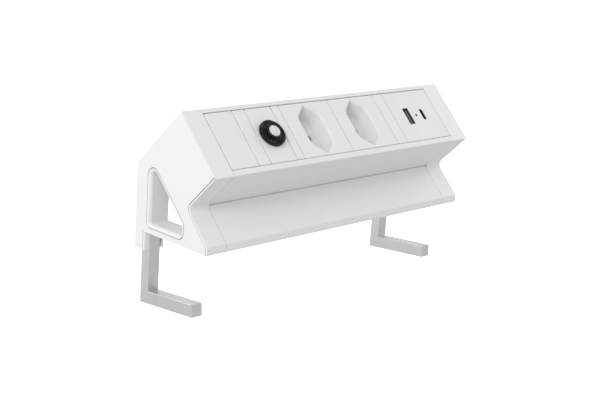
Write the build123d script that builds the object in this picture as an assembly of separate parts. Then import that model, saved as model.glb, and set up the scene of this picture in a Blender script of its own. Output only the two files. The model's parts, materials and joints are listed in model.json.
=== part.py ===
from build123d import *

import os
from math import cos, pi, radians, sin, sqrt

# Desk power strip that clamps to the rear edge of a desk, in millimetres.
# +X points to the user's right, +Y away from the user and +Z up.
# The origin is at mid-length, on the line where the desk's top meets its rear edge.

# Housing, as seen from its end
LENGTH = 240.0
CAP_WIDTH = 15.3
TOP_EDGE_Y = -29.5
TOP_EDGE_Z = 83.0
FACE_HEIGHT = 48.5  # the sloping socket face, from its top edge to its front edge
UNDERCUT = 33.2  # from the front edge back to the valley
ROOF_DEPTH = 56.4  # from the top edge back to the rear edge
LIP_Y = -59.5  # the upright front of the apron
LIP_HEIGHT = 5.5  # where the apron's slope would meet that front
SKIRT_DROP = 12.5  # how far the end caps reach down behind the desk's edge
VALLEY_RADIUS = 4.2
LIP_RADIUS = 2.0
LIP_FOOT_RADIUS = 1.2
WALL = 1.6
EDGE_ROUND = 0.4
REAR_ROUND = 1.0
SLOPE = 1 / sqrt(2)  # the socket face and the roof both lie at 45 degrees

# End cap and its side cover
COVER = 2.0
COVER_MARGIN = 1.0
COVER_SKIRT_Y = 1.8
SEAM = 0.25
COVER_VALLEY_SHIFT = 0.42  # of the margin, so that the cover's edge stays parallel to the cap's
INNER_PLATE = 2.0
TRAY_MARGIN = 1.5
TRAY_FRONT = 2.0
TRAY_BACK = 41.2
TRAY_FLOOR_Z = 2.0
TRAY_TOP_Z = 20.5
TRAY_REAR_Y = -38.6
SKIRT_ROUND = 1.5
WINDOW_REAR_Y = -1.1
WINDOW_FRONT_Y = -36.8
WINDOW_FLOOR_Z = 4.0
WINDOW_SLANT = -51.5  # y - z along the window's sloping edge
WINDOW_ROUND = 2.5
WINDOW_CORNERS = (5.5, 6.0, 5.0, 3.2)

# Self-tapping screws that hold the caps to the extrusions
CAP_SCREW_TOP_S = 4.6
CAP_SCREW_BOTTOM_S = 43.9
CAP_SCREW_D = 35.6
APRON_SCREW = (-49.0, 6.0)  # (y, z)
CAP_SCREW_HEAD_RADIUS = 2.6
CAP_SCREW_HEAD = 2.2
CAP_SCREW_SHANK_RADIUS = 1.4
CAP_SCREW_SHANK = 14.0
CAP_SCREW_HOLE = 1.6
CAP_SCREW_PILOT = 1.5
CAP_SCREW_DRIVE_RADIUS = 0.9
CAP_SCREW_DRIVE = 1.2

# Extrusions
ROOF_END_GAP = 0.9
ROOF_HOOK = 6.5
RAIL_FRONT = 36.2
RAIL_BACK = 38.0
RAIL_REACH = 2.4
SCREW_BOSS = 3.2
APRON_WALL = 2.2
APRON_SEAM = 0.35
APRON_REAR_Y = -37.5
APRON_CLIP = (33.9, 35.9)  # behind the face
APRON_CLIP_GAP = 0.1
APRON_BOSS = 3.0

# Clamp: an L-shaped bar on each side, drawn up by a screw
BAR_WIDTH = 8.4
BAR_DEPTH = 8.1
BAR_SIDE_GAP = 4.45  # from the housing's end to the bar
BAR_FRONT_Y = 0.3
BAR_TOP_Z = 8.0
BAR_BOTTOM_Z = -49.9
ARM_LENGTH = 52.3
ARM_HEIGHT = 8.4
ARM_TILT = 5.4  # degrees, tip up
BAR_EDGE = 0.35
GUIDE_GAP = 0.2
SHOULDER_Z = 36.8
HEAD_Z = 40.3  # under the screw's head
WASHER = 0.8
SCREW_RADIUS = 2.5
SCREW_CLEARANCE = 0.05
SCREW_TIP_Z = -15.5
SCREW_HEAD_RADIUS = 4.25
SCREW_HEAD = 4.2
SCREW_HEAD_ROUND = 0.4
SCREW_TIP_CHAMFER = 0.5
SCREW_HOLE_GAP = 0.2
HEAD_ROOM = 0.4
HEX_KEY = 4.0
HEX_DEPTH = 2.6
WASHER_RADIUS = 4.4
WASHER_GAP = 0.15
THREAD_BOTTOM_Z = -44.5

# Modules in the socket face, from the left
FIRST_SEAM = 15.9
BLANK = 22.7
SPACER = 10.2
NARROW_SPACER = 6.9
HALF_MODULE = 22.5
MODULE = 45.0
USB_WIDTH = 46.3
MODULE_GAP = 0.1
PLATE_TOP_S = 3.5
PLATE_BOTTOM_S = 44.1
PLATE_FRONT = 0.3
PLATE_CHAMFER = 0.25
LEG_WIDTH = 5.0
LEG_THICKNESS = 1.5
LEG_BACK = 12.0
TOP_LIP_S = 3.1
BOTTOM_LIP_S = 44.5
LIP_BACK = 2.0
FLANGE_TOP_S = 1.75
FLANGE_BOTTOM_S = 46.75
FLANGE_FRONT = 2.1
FLANGE_BACK = 4.0
BOX_BACK = 40.0
CENTRE_S = 23.8

# Three-pin socket with an elongated hexagonal recess
RECESS_LENGTH = 38.3
RECESS_WIDTH = 21.2
RECESS_SIDE = 20.4
RECESS_DEPTH = 12.0
RECESS_DRAFT = 4.0
RECESS_ROUND = 1.2
RECESS_SIDE_CORNER = 7.0
RECESS_TIP_CORNER = 1.8
CUP_WALL = 1.5
CUP_START = 2.5
PIN_HOLE_RADIUS = 2.1
PIN_SPACING = 19.0
PIN_OFFSET = 2.5  # line and neutral to one side of the centre, earth to the other
CONTACT_HALF = 2.8
CONTACT_STRIP = 0.5
CONTACT_LENGTH = 14.0
CONTACT_TAIL = 1.5
POCKET_GAP = 0.1
POCKET_END_GAP = 0.4
CONTACT_SETBACK = 0.2
CONTACT_BACK = 35.5
JAW_FLOOR = 2.5
JAW_SLIT = 0.8
JAW_SLIT_END = 5.0
BASE_HALF_WIDTH = 20.5
BASE_TOP_S = 3.6
BASE_BOTTOM_S = 44.0
BASE_GAP = 0.1
BASE_BACK = 31.0
POST_X = 18.5
POST_HALF_WIDTH = 1.5
POST_HEIGHT = 2.0
POST_INSET = 2.5

# Overload breaker
NUT_RADIUS = 9.3
NUT_FRONT = 3.2
NUT_CHAMFER = 0.4
NUT_GROOVES = 36
NUT_GROOVE_RADIUS = 0.45
NUT_GAP = 0.05
NECK_RADIUS = 5.4
NECK_FRONT = 3.8
NECK_CHAMFER = 0.3
NECK_GAP = 0.1
BUTTON_RADIUS = 3.9
BUTTON_FRONT = 5.3
BUTTON_GAP = 0.08
BUTTON_ROUND = 1.3
BUTTON_STEM_RADIUS = 1.5
BUTTON_STEM_BACK = 15.0
BUTTON_COLLAR_RADIUS = 4.4
BUTTON_COLLAR = (12.6, 14.0)
BUTTON_BACK = 8.0
BORE_BACK = 9.0
BREAKER_WIDTH = 14.0
BREAKER_HEIGHT = 22.0
BREAKER_BACK = 31.0
BREAKER_WALL = 1.5
BLADE_OFFSET = 3.5
BLADE_THICKNESS = 0.8
BLADE_WIDTH = 6.3
BLADE_FRONT = 26.0
BLADE_REACH = 5.5
BLADE_SLOT_GAP = 0.1

# USB charger
USB_A_X = 193.6
USB_C_X = 208.9
LED_X = 201.5
USB_A_WIDTH = 5.6
USB_A_HEIGHT = 13.1
USB_C_WIDTH = 3.2
USB_C_HEIGHT = 9.0
USB_DEPTH = 15.0
LED_RADIUS = 0.9
PORT_GAP = 0.15
LED_GAP = 0.05
SHELL_SETBACK = 0.3
SHELL_WALL = 0.3
BOARD = 1.6
BOARD_GAP = 0.05
BOARD_MARGIN = 0.6
CASE_LEFT = 181.0
CASE_RIGHT = 221.8
CASE_WALL = 1.4
CASE_BACK = 30.0
ENTRY_BACK = 22.0

# Mains inlet and internal wiring
INLET_X = 34.0
INLET_WIDTH = 33.0
INLET_HEIGHT = 18.0
INLET_FRONT = 21.5
INLET_WALL = 1.5
INLET_FLANGE = 1.6
INLET_GAP = 0.1
INLET_FLOOR = 26.0
INLET_PIN_SPACING = 9.0
INLET_PIN_RADIUS = 1.5
INLET_PIN_BACK = 38.0
EARTH_STUD_X = 173.5
EARTH_THREAD = 2.05
WIRE_RADIUS = 1.2
WIRE_BACK = 34.0

os.makedirs("parts", exist_ok=True)

half = LENGTH / 2
cap_inside = half - CAP_WIDTH
face_plane = Plane(
    origin=(-half, TOP_EDGE_Y, TOP_EDGE_Z), x_dir=(1, 0, 0), z_dir=(0, -SLOPE, SLOPE)
)


def in_face(s, d):
    """(y, z) of the point s below the top edge along the face and d behind the face."""
    return (TOP_EDGE_Y + SLOPE * (d - s), TOP_EDGE_Z - SLOPE * (d + s))


def face_block(x0, x1, s0, s1, d0, d1):
    """A block square to the socket face; x is measured from the housing's left end."""
    middle = Pos((x0 + x1) / 2, -(s0 + s1) / 2, -(d0 + d1) / 2)
    return face_plane.location * middle * Box(x1 - x0, s1 - s0, d1 - d0)


def face_rod(x, s, d0, d1, radius):
    """A cylinder square to the socket face."""
    return face_plane.location * Pos(x, -s, -(d0 + d1) / 2) * Cylinder(radius, d1 - d0)


def face_sheet(sketch, x, s, d):
    """A sketch laid parallel to the socket face, its +Y up the slope."""
    return face_plane.location * Pos(x, -s, -d) * sketch


def rounded_outline(points):
    """A closed face through (y, z, corner radius) points."""
    corners = [(y, z) for y, z, _ in points]
    radii = [radius for _, _, radius in points]
    return make_face(FilletPolyline(*corners, radius=radii, close=True))


def prism(points, x0, x1):
    """A solid with one outline all the way along X."""
    return extrude(Plane.YZ.offset(x0) * rounded_outline(points), amount=x1 - x0, dir=(1, 0, 0))


def upright_rod(x, y, z0, z1, radius):
    return Pos(x, y, (z0 + z1) / 2) * Cylinder(radius, z1 - z0)


def x_rod(y, z, x0, x1, radius):
    """A cylinder along X."""
    return Pos((x0 + x1) / 2, y, z) * Rot(0, 90, 0) * Cylinder(radius, x1 - x0)


def block(x0, x1, y0, y1, z0, z1):
    middle = Pos((x0 + x1) / 2, (y0 + y1) / 2, (z0 + z1) / 2)
    return middle * Box(x1 - x0, y1 - y0, z1 - z0)


def save(name, *shapes):
    """One STEP file for a node, from one or more separate solids."""
    solids = [solid for shape in shapes for solid in shape.solids()]
    export_step(solids[0] if len(solids) == 1 else Compound(children=solids), f"parts/{name}.step")


def save_pair(name, shape):
    """A left-hand part and its mirror image on the right."""
    save(f"{name}_left", shape)
    save(f"{name}_right", mirror(shape, about=Plane.YZ))


front_edge = in_face(FACE_HEIGHT, 0)
valley = in_face(FACE_HEIGHT, UNDERCUT)
rear_edge = in_face(0, ROOF_DEPTH)
apron_fall = (LIP_Y - valley[0], LIP_HEIGHT - valley[1])
apron_length = sqrt(apron_fall[0] ** 2 + apron_fall[1] ** 2)
apron_slope = (apron_fall[0] / apron_length, apron_fall[1] / apron_length)
apron_inward = (-apron_slope[1], apron_slope[0])


def beside_apron(along, inward):
    """(y, z) of a point down the apron from the valley and inward from its surface."""
    return (
        valley[0] + along * apron_slope[0] + inward * apron_inward[0],
        valley[1] + along * apron_slope[1] + inward * apron_inward[1],
    )


def on_apron_at(z, inward):
    """(y, z) of the point at height z on a line inward of the apron's surface."""
    along = (valley[1] + inward * apron_inward[1] - z) / -apron_slope[1]
    return beside_apron(along, inward)


def inside_lip(inward):
    """(y, z) of the corner of the lines inward of the apron's slope and of its front."""
    along = (LIP_Y + inward - valley[0] - inward * apron_inward[0]) / apron_slope[0]
    return beside_apron(along, inward)


# ---------------------------------------------------------------- end caps and side covers


def cap_outline():
    return [
        (TOP_EDGE_Y, TOP_EDGE_Z, EDGE_ROUND),
        (*front_edge, EDGE_ROUND),
        (*valley, VALLEY_RADIUS),
        (LIP_Y, LIP_HEIGHT, LIP_RADIUS),
        (LIP_Y, 0, LIP_FOOT_RADIUS),
        (0, 0, 0),
        (0, -SKIRT_DROP, EDGE_ROUND),
        (rear_edge[0], -SKIRT_DROP, EDGE_ROUND),
        (*rear_edge, REAR_ROUND),
    ]


def cover_outline(gap):
    """The side cover, set in from the cap's front edges and flush along the others."""
    margin = COVER_MARGIN + gap
    edge_s = FACE_HEIGHT - margin
    shift = margin * COVER_VALLEY_SHIFT
    return [
        (TOP_EDGE_Y, TOP_EDGE_Z, EDGE_ROUND),
        (*in_face(edge_s, 0), 0),
        (*in_face(edge_s, UNDERCUT + shift), VALLEY_RADIUS + margin),
        (*inside_lip(margin), LIP_RADIUS),
        (LIP_Y + margin, 0, LIP_FOOT_RADIUS),
        (COVER_SKIRT_Y + gap, 0, 0),
        (COVER_SKIRT_Y + gap, -SKIRT_DROP, 0),
        (rear_edge[0], -SKIRT_DROP, EDGE_ROUND),
        (*rear_edge, REAR_ROUND),
    ]


def window_outline(inset):
    slant = WINDOW_SLANT + inset * sqrt(2)
    rear = WINDOW_REAR_Y - inset
    front = WINDOW_FRONT_Y + inset
    floor = WINDOW_FLOOR_Z + inset
    places = [(rear, rear - slant), (front, front - slant), (front, floor), (rear, floor)]
    return [(y, z, radius - inset) for (y, z), radius in zip(places, WINDOW_CORNERS)]


def end_cap():
    """The left end cap: a tray open to its side cover, with the bar's guide at the back."""
    outer, cover_seat, inner = -half, -half + COVER, -cap_inside
    cap = prism(cap_outline(), outer, inner)
    cap -= prism(window_outline(WINDOW_ROUND), outer - 1, inner + 1)
    rim = [e for e in cap.edges() if e.center().X < outer + 0.01 and inside_window(e.center())]
    cap = fillet(rim, WINDOW_ROUND - 0.1)
    recess = prism(cover_outline(0), outer - 1, cover_seat)
    cap -= recess - prism(window_outline(0), outer - 2, cover_seat + 1)

    tray = (cover_seat - COVER / 4, inner - INNER_PLATE)
    tray_bottom = FACE_HEIGHT - TRAY_MARGIN
    socket_end = [
        (*in_face(TRAY_MARGIN, TRAY_FRONT), REAR_ROUND),
        (*in_face(tray_bottom, TRAY_FRONT), REAR_ROUND),
        (*in_face(tray_bottom, TRAY_BACK), REAR_ROUND),
        (*in_face(TRAY_MARGIN, TRAY_BACK), REAR_ROUND),
    ]
    apron_end = [
        (TRAY_REAR_Y, TRAY_FLOOR_Z, EDGE_ROUND),
        (LIP_Y + TRAY_FLOOR_Z, TRAY_FLOOR_Z, EDGE_ROUND),
        (*inside_lip(TRAY_FLOOR_Z), EDGE_ROUND),
        (*on_apron_at(TRAY_TOP_Z, TRAY_FLOOR_Z), EDGE_ROUND),
        (TRAY_REAR_Y, TRAY_TOP_Z, EDGE_ROUND),
    ]
    cap -= prism(socket_end, *tray)
    cap -= prism(apron_end, *tray)

    bar_x0 = outer + BAR_SIDE_GAP
    bar_x1 = bar_x0 + BAR_WIDTH
    guide_back = BAR_FRONT_Y + BAR_DEPTH + GUIDE_GAP
    guide_x = (bar_x0 - GUIDE_GAP, bar_x1 + GUIDE_GAP)
    cap -= block(*guide_x, BAR_FRONT_Y - GUIDE_GAP, guide_back, -SKIRT_DROP - 1, SHOULDER_Z)
    cap -= block(*guide_x, -1, guide_back, -SKIRT_DROP - 1, 0)
    shank_hole = SCREW_RADIUS + SCREW_HOLE_GAP
    head_hole = SCREW_HEAD_RADIUS + HEAD_ROOM
    cap -= upright_rod(*screw_axis(), SHOULDER_Z - 1, HEAD_Z, shank_hole)
    cap -= upright_rod(*screw_axis(), HEAD_Z - WASHER, TOP_EDGE_Z, head_hole)
    skirt_edge = [
        e
        for e in cap.edges().filter_by(Axis.Z)
        if abs(e.center().X - outer) < 0.01 and abs(e.center().Y) < 0.01
    ]
    cap = fillet(skirt_edge, SKIRT_ROUND)
    for y, z in cap_screw_places():
        cap -= x_rod(y, z, inner - INNER_PLATE - 1, inner + 1, CAP_SCREW_HOLE)
    return cap


def inside_window(point):
    """Whether a point lies within the box that the window fills."""
    return WINDOW_FRONT_Y < point.Y < WINDOW_REAR_Y and point.Z > WINDOW_FLOOR_Z and (
        point.Y - point.Z > WINDOW_SLANT
    )


def cap_screw_places():
    """(y, z) of the three screws that hold an end cap to the extrusions."""
    return [
        in_face(CAP_SCREW_TOP_S, CAP_SCREW_D),
        in_face(CAP_SCREW_BOTTOM_S, CAP_SCREW_D),
        APRON_SCREW,
    ]


def side_cover():
    outer, seat = -half, -half + COVER
    cover = prism(cover_outline(SEAM), outer, seat)
    return cover - prism(window_outline(-SEAM), outer - 1, seat + 1)


def cap_screws():
    """Six self-tapping screws, three in each cap, with their heads inside the tray."""
    screws = []
    seat = cap_inside + INNER_PLATE
    head_end = seat + CAP_SCREW_HEAD
    for y, z in cap_screw_places():
        head = x_rod(y, z, seat, head_end, CAP_SCREW_HEAD_RADIUS)
        shank = x_rod(y, z, seat - CAP_SCREW_SHANK, seat, CAP_SCREW_SHANK_RADIUS)
        drive = x_rod(y, z, head_end - CAP_SCREW_DRIVE, head_end + 1, CAP_SCREW_DRIVE_RADIUS)
        screw = head + shank - drive
        screws += [screw, mirror(screw, about=Plane.YZ)]
    return screws


# ---------------------------------------------------------------- extrusions


def main_profile():
    """The socket box: lips in front, a closed back, and a roof that runs on to the rear."""
    ends = (-cap_inside, cap_inside)
    inner_bottom = FACE_HEIGHT - WALL
    outer = prism(
        [
            (*in_face(0, 0), EDGE_ROUND),
            (*in_face(FACE_HEIGHT, 0), EDGE_ROUND),
            (*in_face(FACE_HEIGHT, BOX_BACK), REAR_ROUND),
            (*in_face(0, BOX_BACK), 0),
        ],
        *ends,
    )
    cavity = prism(
        [
            (*in_face(WALL, LIP_BACK), EDGE_ROUND),
            (*in_face(inner_bottom, LIP_BACK), EDGE_ROUND),
            (*in_face(inner_bottom, BOX_BACK - WALL), EDGE_ROUND),
            (*in_face(WALL, BOX_BACK - WALL), EDGE_ROUND),
        ],
        ends[0] - 1,
        ends[1] + 1,
    )
    mouth = face_block(0, LENGTH, TOP_LIP_S, BOTTOM_LIP_S, -1, LIP_BACK + 1)
    roof_end = ROOF_DEPTH - ROOF_END_GAP
    roof = prism(
        [
            (*in_face(0, BOX_BACK - 1), 0),
            (*in_face(WALL, BOX_BACK - 1), 0),
            (*in_face(WALL, roof_end - WALL), EDGE_ROUND),
            (*in_face(ROOF_HOOK, roof_end - WALL), 0),
            (*in_face(ROOF_HOOK, roof_end), EDGE_ROUND),
            (*in_face(0, roof_end), REAR_ROUND),
        ],
        *ends,
    )
    clip_rail = prism(
        [
            (*in_face(FACE_HEIGHT - WALL / 2, RAIL_FRONT), 0),
            (*in_face(FACE_HEIGHT + RAIL_REACH, RAIL_FRONT), 0),
            (*in_face(FACE_HEIGHT + RAIL_REACH, RAIL_BACK), 0),
            (*in_face(FACE_HEIGHT - WALL / 2, RAIL_BACK), 0),
        ],
        *ends,
    )
    profile = outer - cavity - mouth + roof + clip_rail
    for y, z in cap_screw_places()[:2]:
        profile += x_rod(y, z, *ends, SCREW_BOSS) & outer
        profile -= x_rod(y, z, ends[0] - 1, ends[1] + 1, CAP_SCREW_PILOT)
    profile -= inlet_cutout()
    profile -= face_rod(*earth_stud(), BOX_BACK - 2 * WALL, BOX_BACK + 1, EARTH_THREAD)
    return profile


def front_apron():
    """The sloping front shelf, rounded over at the desk and clipped under the socket box."""
    ends = (-cap_inside, cap_inside)
    clip_top = FACE_HEIGHT + APRON_CLIP_GAP
    clip_front, clip_back = APRON_CLIP
    shell = prism(
        [
            (*beside_apron(APRON_SEAM, 0), EDGE_ROUND / 2),
            (LIP_Y, LIP_HEIGHT, LIP_RADIUS),
            (LIP_Y, 0, LIP_FOOT_RADIUS),
            (APRON_REAR_Y, 0, REAR_ROUND),
            (APRON_REAR_Y, APRON_WALL, REAR_ROUND),
            (LIP_Y + APRON_WALL, APRON_WALL, EDGE_ROUND),
            (*inside_lip(APRON_WALL), EDGE_ROUND),
            (*beside_apron(APRON_SEAM + REAR_ROUND, APRON_WALL), 0),
            (*in_face(FACE_HEIGHT + RAIL_REACH, clip_back), 0),
            (*in_face(clip_top, clip_back), 0),
            (*in_face(clip_top, clip_front), 0),
        ],
        *ends,
    )
    y, z = APRON_SCREW
    boss = x_rod(y, z, *ends, APRON_BOSS) + block(*ends, y - 1, y + 1, APRON_WALL / 2, z)
    return shell + boss - x_rod(y, z, ends[0] - 1, ends[1] + 1, CAP_SCREW_PILOT)


# ---------------------------------------------------------------- clamp


def clamp_arm():
    """The left L-shaped bar: an upright leg and an arm that rises a little to its tip."""
    rear = BAR_FRONT_Y + BAR_DEPTH
    x0 = -half + BAR_SIDE_GAP
    along = (-cos(radians(ARM_TILT)), sin(radians(ARM_TILT)))
    up = (along[1], -along[0])
    corner = (rear, BAR_BOTTOM_Z)
    tip_low = (corner[0] + ARM_LENGTH * along[0], corner[1] + ARM_LENGTH * along[1])
    tip_high = (tip_low[0] + ARM_HEIGHT * up[0], tip_low[1] + ARM_HEIGHT * up[1])
    run = (tip_high[0] - BAR_FRONT_Y) / along[0]
    inside = (BAR_FRONT_Y, tip_high[1] - run * along[1])
    bar = prism(
        [
            (rear, BAR_TOP_Z, 0),
            (*corner, 0),
            (*tip_low, 0),
            (*tip_high, 0),
            (*inside, 0),
            (BAR_FRONT_Y, BAR_TOP_Z, 0),
        ],
        x0,
        x0 + BAR_WIDTH,
    )
    outside = [e for e in bar.edges() if e.center().Z < BAR_TOP_Z - 1]
    bar = chamfer(outside, BAR_EDGE)
    thread = SCREW_RADIUS + SCREW_CLEARANCE
    return bar - upright_rod(*screw_axis(), THREAD_BOTTOM_Z, BAR_TOP_Z + 1, thread)


def screw_axis():
    """(x, y) of the left clamp screw."""
    return (-half + BAR_SIDE_GAP + BAR_WIDTH / 2, BAR_FRONT_Y + BAR_DEPTH / 2)


def clamp_screw():
    x, y = screw_axis()
    shank = upright_rod(x, y, SCREW_TIP_Z, HEAD_Z, SCREW_RADIUS)
    head = upright_rod(x, y, HEAD_Z, HEAD_Z + SCREW_HEAD, SCREW_HEAD_RADIUS)
    rim = head.edges().filter_by(GeomType.CIRCLE).sort_by(Axis.Z)[-1]
    head = fillet(rim, SCREW_HEAD_ROUND)
    key = Pos(x, y, HEAD_Z + SCREW_HEAD - HEX_DEPTH) * extrude(
        RegularPolygon(HEX_KEY / sqrt(3), 6), amount=HEX_DEPTH + 1
    )
    tip = shank.edges().filter_by(GeomType.CIRCLE).sort_by(Axis.Z)[0]
    return chamfer(tip, SCREW_TIP_CHAMFER) + (head - key)


def clamp_washers():
    x, y = screw_axis()
    washer = upright_rod(x, y, HEAD_Z - WASHER, HEAD_Z, WASHER_RADIUS)
    washer -= upright_rod(x, y, HEAD_Z - 2 * WASHER, HEAD_Z + 1, SCREW_RADIUS + WASHER_GAP)
    return [washer, mirror(washer, about=Plane.YZ)]


# ---------------------------------------------------------------- module plates

widths = [BLANK, SPACER, HALF_MODULE, NARROW_SPACER, MODULE, MODULE, SPACER, USB_WIDTH]
seams = [FIRST_SEAM + sum(widths[:i]) for i in range(len(widths) + 1)]


def module_plate(index):
    """A snap-in plate: its front fills the opening, its flange bears behind the lips."""
    x0 = seams[index] + MODULE_GAP
    x1 = seams[index + 1] - MODULE_GAP
    front = face_block(x0, x1, PLATE_TOP_S, PLATE_BOTTOM_S, PLATE_FRONT, LIP_BACK + 1)
    rim = front.edges().group_by(Axis((0, 0, 0), (0, -SLOPE, SLOPE)))[-1]
    front = chamfer(rim, PLATE_CHAMFER)
    flange = face_block(x0, x1, FLANGE_TOP_S, FLANGE_BOTTOM_S, FLANGE_FRONT, FLANGE_BACK)
    return front + flange


def plate_with_legs(index):
    """A blank or spacer, with a snap leg at its top and bottom."""
    x0, x1 = centre_of(index) - LEG_WIDTH / 2, centre_of(index) + LEG_WIDTH / 2
    plate = module_plate(index)
    for s in (FLANGE_TOP_S, FLANGE_BOTTOM_S - LEG_THICKNESS):
        plate += face_block(x0, x1, s, s + LEG_THICKNESS, FLANGE_BACK - 1, LEG_BACK)
    return plate


def centre_of(index):
    return (seams[index] + seams[index + 1]) / 2


# ---------------------------------------------------------------- sockets


def hexagon(grow):
    """The socket's elongated hexagon, its points up and down the slope."""
    wide = RECESS_WIDTH / 2 + grow
    side = RECESS_SIDE / 2 + grow * 0.4
    tall = RECESS_LENGTH / 2 + grow * 1.35
    points = [(wide, side), (0, tall), (-wide, side), (-wide, -side), (0, -tall), (wide, -side)]
    half_round = [RECESS_SIDE_CORNER, RECESS_TIP_CORNER, RECESS_SIDE_CORNER]
    radii = half_round + half_round
    return make_face(FilletPolyline(*points, radius=radii, close=True))


def pin_places(x):
    """(x, s) of the line, neutral and earth pins."""
    return [
        (x - PIN_OFFSET, CENTRE_S - PIN_SPACING / 2),
        (x - PIN_OFFSET, CENTRE_S + PIN_SPACING / 2),
        (x + PIN_OFFSET, CENTRE_S),
    ]


def socket_face(index):
    x = centre_of(index)
    floor = PLATE_FRONT + RECESS_DEPTH
    mouth = face_sheet(hexagon(0), x, CENTRE_S, PLATE_FRONT)
    recess = extrude(mouth, amount=-RECESS_DEPTH, taper=RECESS_DRAFT)
    cup_mouth = face_sheet(hexagon(CUP_WALL), x, CENTRE_S, CUP_START)
    cup_depth = floor + CUP_WALL - CUP_START
    cup = extrude(cup_mouth, amount=-cup_depth, taper=RECESS_DRAFT)
    plate = module_plate(index) + cup - recess
    depth_axis = Axis((0, 0, 0), (0, -SLOPE, SLOPE))
    front_edges = plate.edges().group_by(depth_axis)[-1]
    mouth_edges = [e for e in front_edges if recess_reach(e, x) < RECESS_LENGTH / 2 + 0.01]
    plate = fillet(mouth_edges, RECESS_ROUND)
    for pin_x, pin_s in pin_places(x):
        plate -= face_rod(pin_x, pin_s, floor - 1, floor + CUP_WALL + 1, PIN_HOLE_RADIUS)
    return plate


def recess_reach(edge, x):
    """How far an edge's middle is from the socket's centre line along the face."""
    local = face_plane.to_local_coords(edge.center())
    return max(abs(local.X - x) * RECESS_LENGTH / RECESS_WIDTH, abs(local.Y + CENTRE_S))


def socket_base(index):
    """The contact carrier behind a socket face, with a pocket for each contact."""
    x = centre_of(index)
    front = PLATE_FRONT + RECESS_DEPTH + CUP_WALL + BASE_GAP
    base = face_block(
        x - BASE_HALF_WIDTH, x + BASE_HALF_WIDTH, BASE_TOP_S, BASE_BOTTOM_S, front, BASE_BACK
    )
    for post_x in (x - POST_X, x + POST_X):
        post = (post_x - POST_HALF_WIDTH, post_x + POST_HALF_WIDTH)
        for s in (FLANGE_TOP_S + POST_INSET, FLANGE_BOTTOM_S - POST_INSET - POST_HEIGHT):
            base += face_block(*post, s, s + POST_HEIGHT, FLANGE_BACK, front + 1)
    for pin_x, pin_s in pin_places(x):
        pocket_back = front + CONTACT_LENGTH + POCKET_END_GAP
        base -= square_rod(pin_x, pin_s, front - 1, pocket_back, CONTACT_HALF + POCKET_GAP)
        base -= square_rod(pin_x, pin_s, pocket_back - 1, BASE_BACK + 1, CONTACT_TAIL + POCKET_GAP)
    return base


def square_rod(x, s, d0, d1, half_width):
    """A square bar square to the socket face."""
    return face_block(x - half_width, x + half_width, s - half_width, s + half_width, d0, d1)


def contact(pin_x, pin_s):
    """A contact folded from strip, split into two jaws, with a terminal tail."""
    front = PLATE_FRONT + RECESS_DEPTH + CUP_WALL + BASE_GAP + CONTACT_SETBACK
    back = front + CONTACT_LENGTH
    jaws = square_rod(pin_x, pin_s, front, back, CONTACT_HALF)
    jaws += square_rod(pin_x, pin_s, back - 1, CONTACT_BACK, CONTACT_TAIL)
    jaws -= square_rod(pin_x, pin_s, front - 1, back - JAW_FLOOR, CONTACT_HALF - CONTACT_STRIP)
    return jaws - face_block(
        pin_x - CONTACT_HALF - 1,
        pin_x + CONTACT_HALF + 1,
        pin_s - JAW_SLIT / 2,
        pin_s + JAW_SLIT / 2,
        front - 1,
        back - JAW_SLIT_END,
    )


# ---------------------------------------------------------------- breaker


def breaker_nut(x):
    nut = face_rod(x, CENTRE_S, -NUT_FRONT, PLATE_FRONT - NUT_GAP, NUT_RADIUS)
    rim = nut.edges().filter_by(GeomType.CIRCLE)
    nut = chamfer(rim, NUT_CHAMFER)
    for i in range(NUT_GROOVES):
        angle = 2 * pi * i / NUT_GROOVES
        groove_x = x + NUT_RADIUS * cos(angle)
        groove_s = CENTRE_S + NUT_RADIUS * sin(angle)
        nut -= face_rod(groove_x, groove_s, -NUT_FRONT - 1, PLATE_FRONT + 1, NUT_GROOVE_RADIUS)
    return nut - face_rod(x, CENTRE_S, -NUT_FRONT - 1, PLATE_FRONT + 1, NECK_RADIUS + NUT_GAP)


def breaker_body(x):
    """The breaker's case, its threaded neck through the plate, hollow for its works."""
    s0, s1 = CENTRE_S - BREAKER_HEIGHT / 2, CENTRE_S + BREAKER_HEIGHT / 2
    x0, x1 = x - BREAKER_WIDTH / 2, x + BREAKER_WIDTH / 2
    case = face_block(x0, x1, s0, s1, FLANGE_BACK + MODULE_GAP, BREAKER_BACK)
    hollow = face_block(
        x0 + BREAKER_WALL,
        x1 - BREAKER_WALL,
        s0 + BREAKER_WALL,
        s1 - BREAKER_WALL,
        BORE_BACK - 1,
        BREAKER_BACK - BREAKER_WALL,
    )
    neck = face_rod(x, CENTRE_S, -NECK_FRONT, FLANGE_BACK + 1, NECK_RADIUS)
    neck_rim = neck.edges().filter_by(GeomType.CIRCLE).sort_by(Axis.Z)[-1]
    neck = chamfer(neck_rim, NECK_CHAMFER)
    bore = face_rod(x, CENTRE_S, -NECK_FRONT - 1, BORE_BACK, BUTTON_RADIUS + BUTTON_GAP)
    body = case + neck - hollow - bore
    for blade_x in blade_places(x):
        body -= blade_block(blade_x, BREAKER_BACK - 2 * BREAKER_WALL, BREAKER_BACK + 1, BLADE_SLOT_GAP)
    return body


def blade_block(x, d0, d1, gap):
    """The space of a flat blade terminal, with a gap around it."""
    thick = BLADE_THICKNESS / 2 + gap
    wide = BLADE_WIDTH / 2 + gap
    return face_block(x - thick, x + thick, CENTRE_S - wide, CENTRE_S + wide, d0, d1)


def blade_places(x):
    return (x - BLADE_OFFSET, x + BLADE_OFFSET)


def breaker_blades(x):
    end = BREAKER_BACK + BLADE_REACH
    return [blade_block(blade_x, BLADE_FRONT, end, 0) for blade_x in blade_places(x)]


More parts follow.
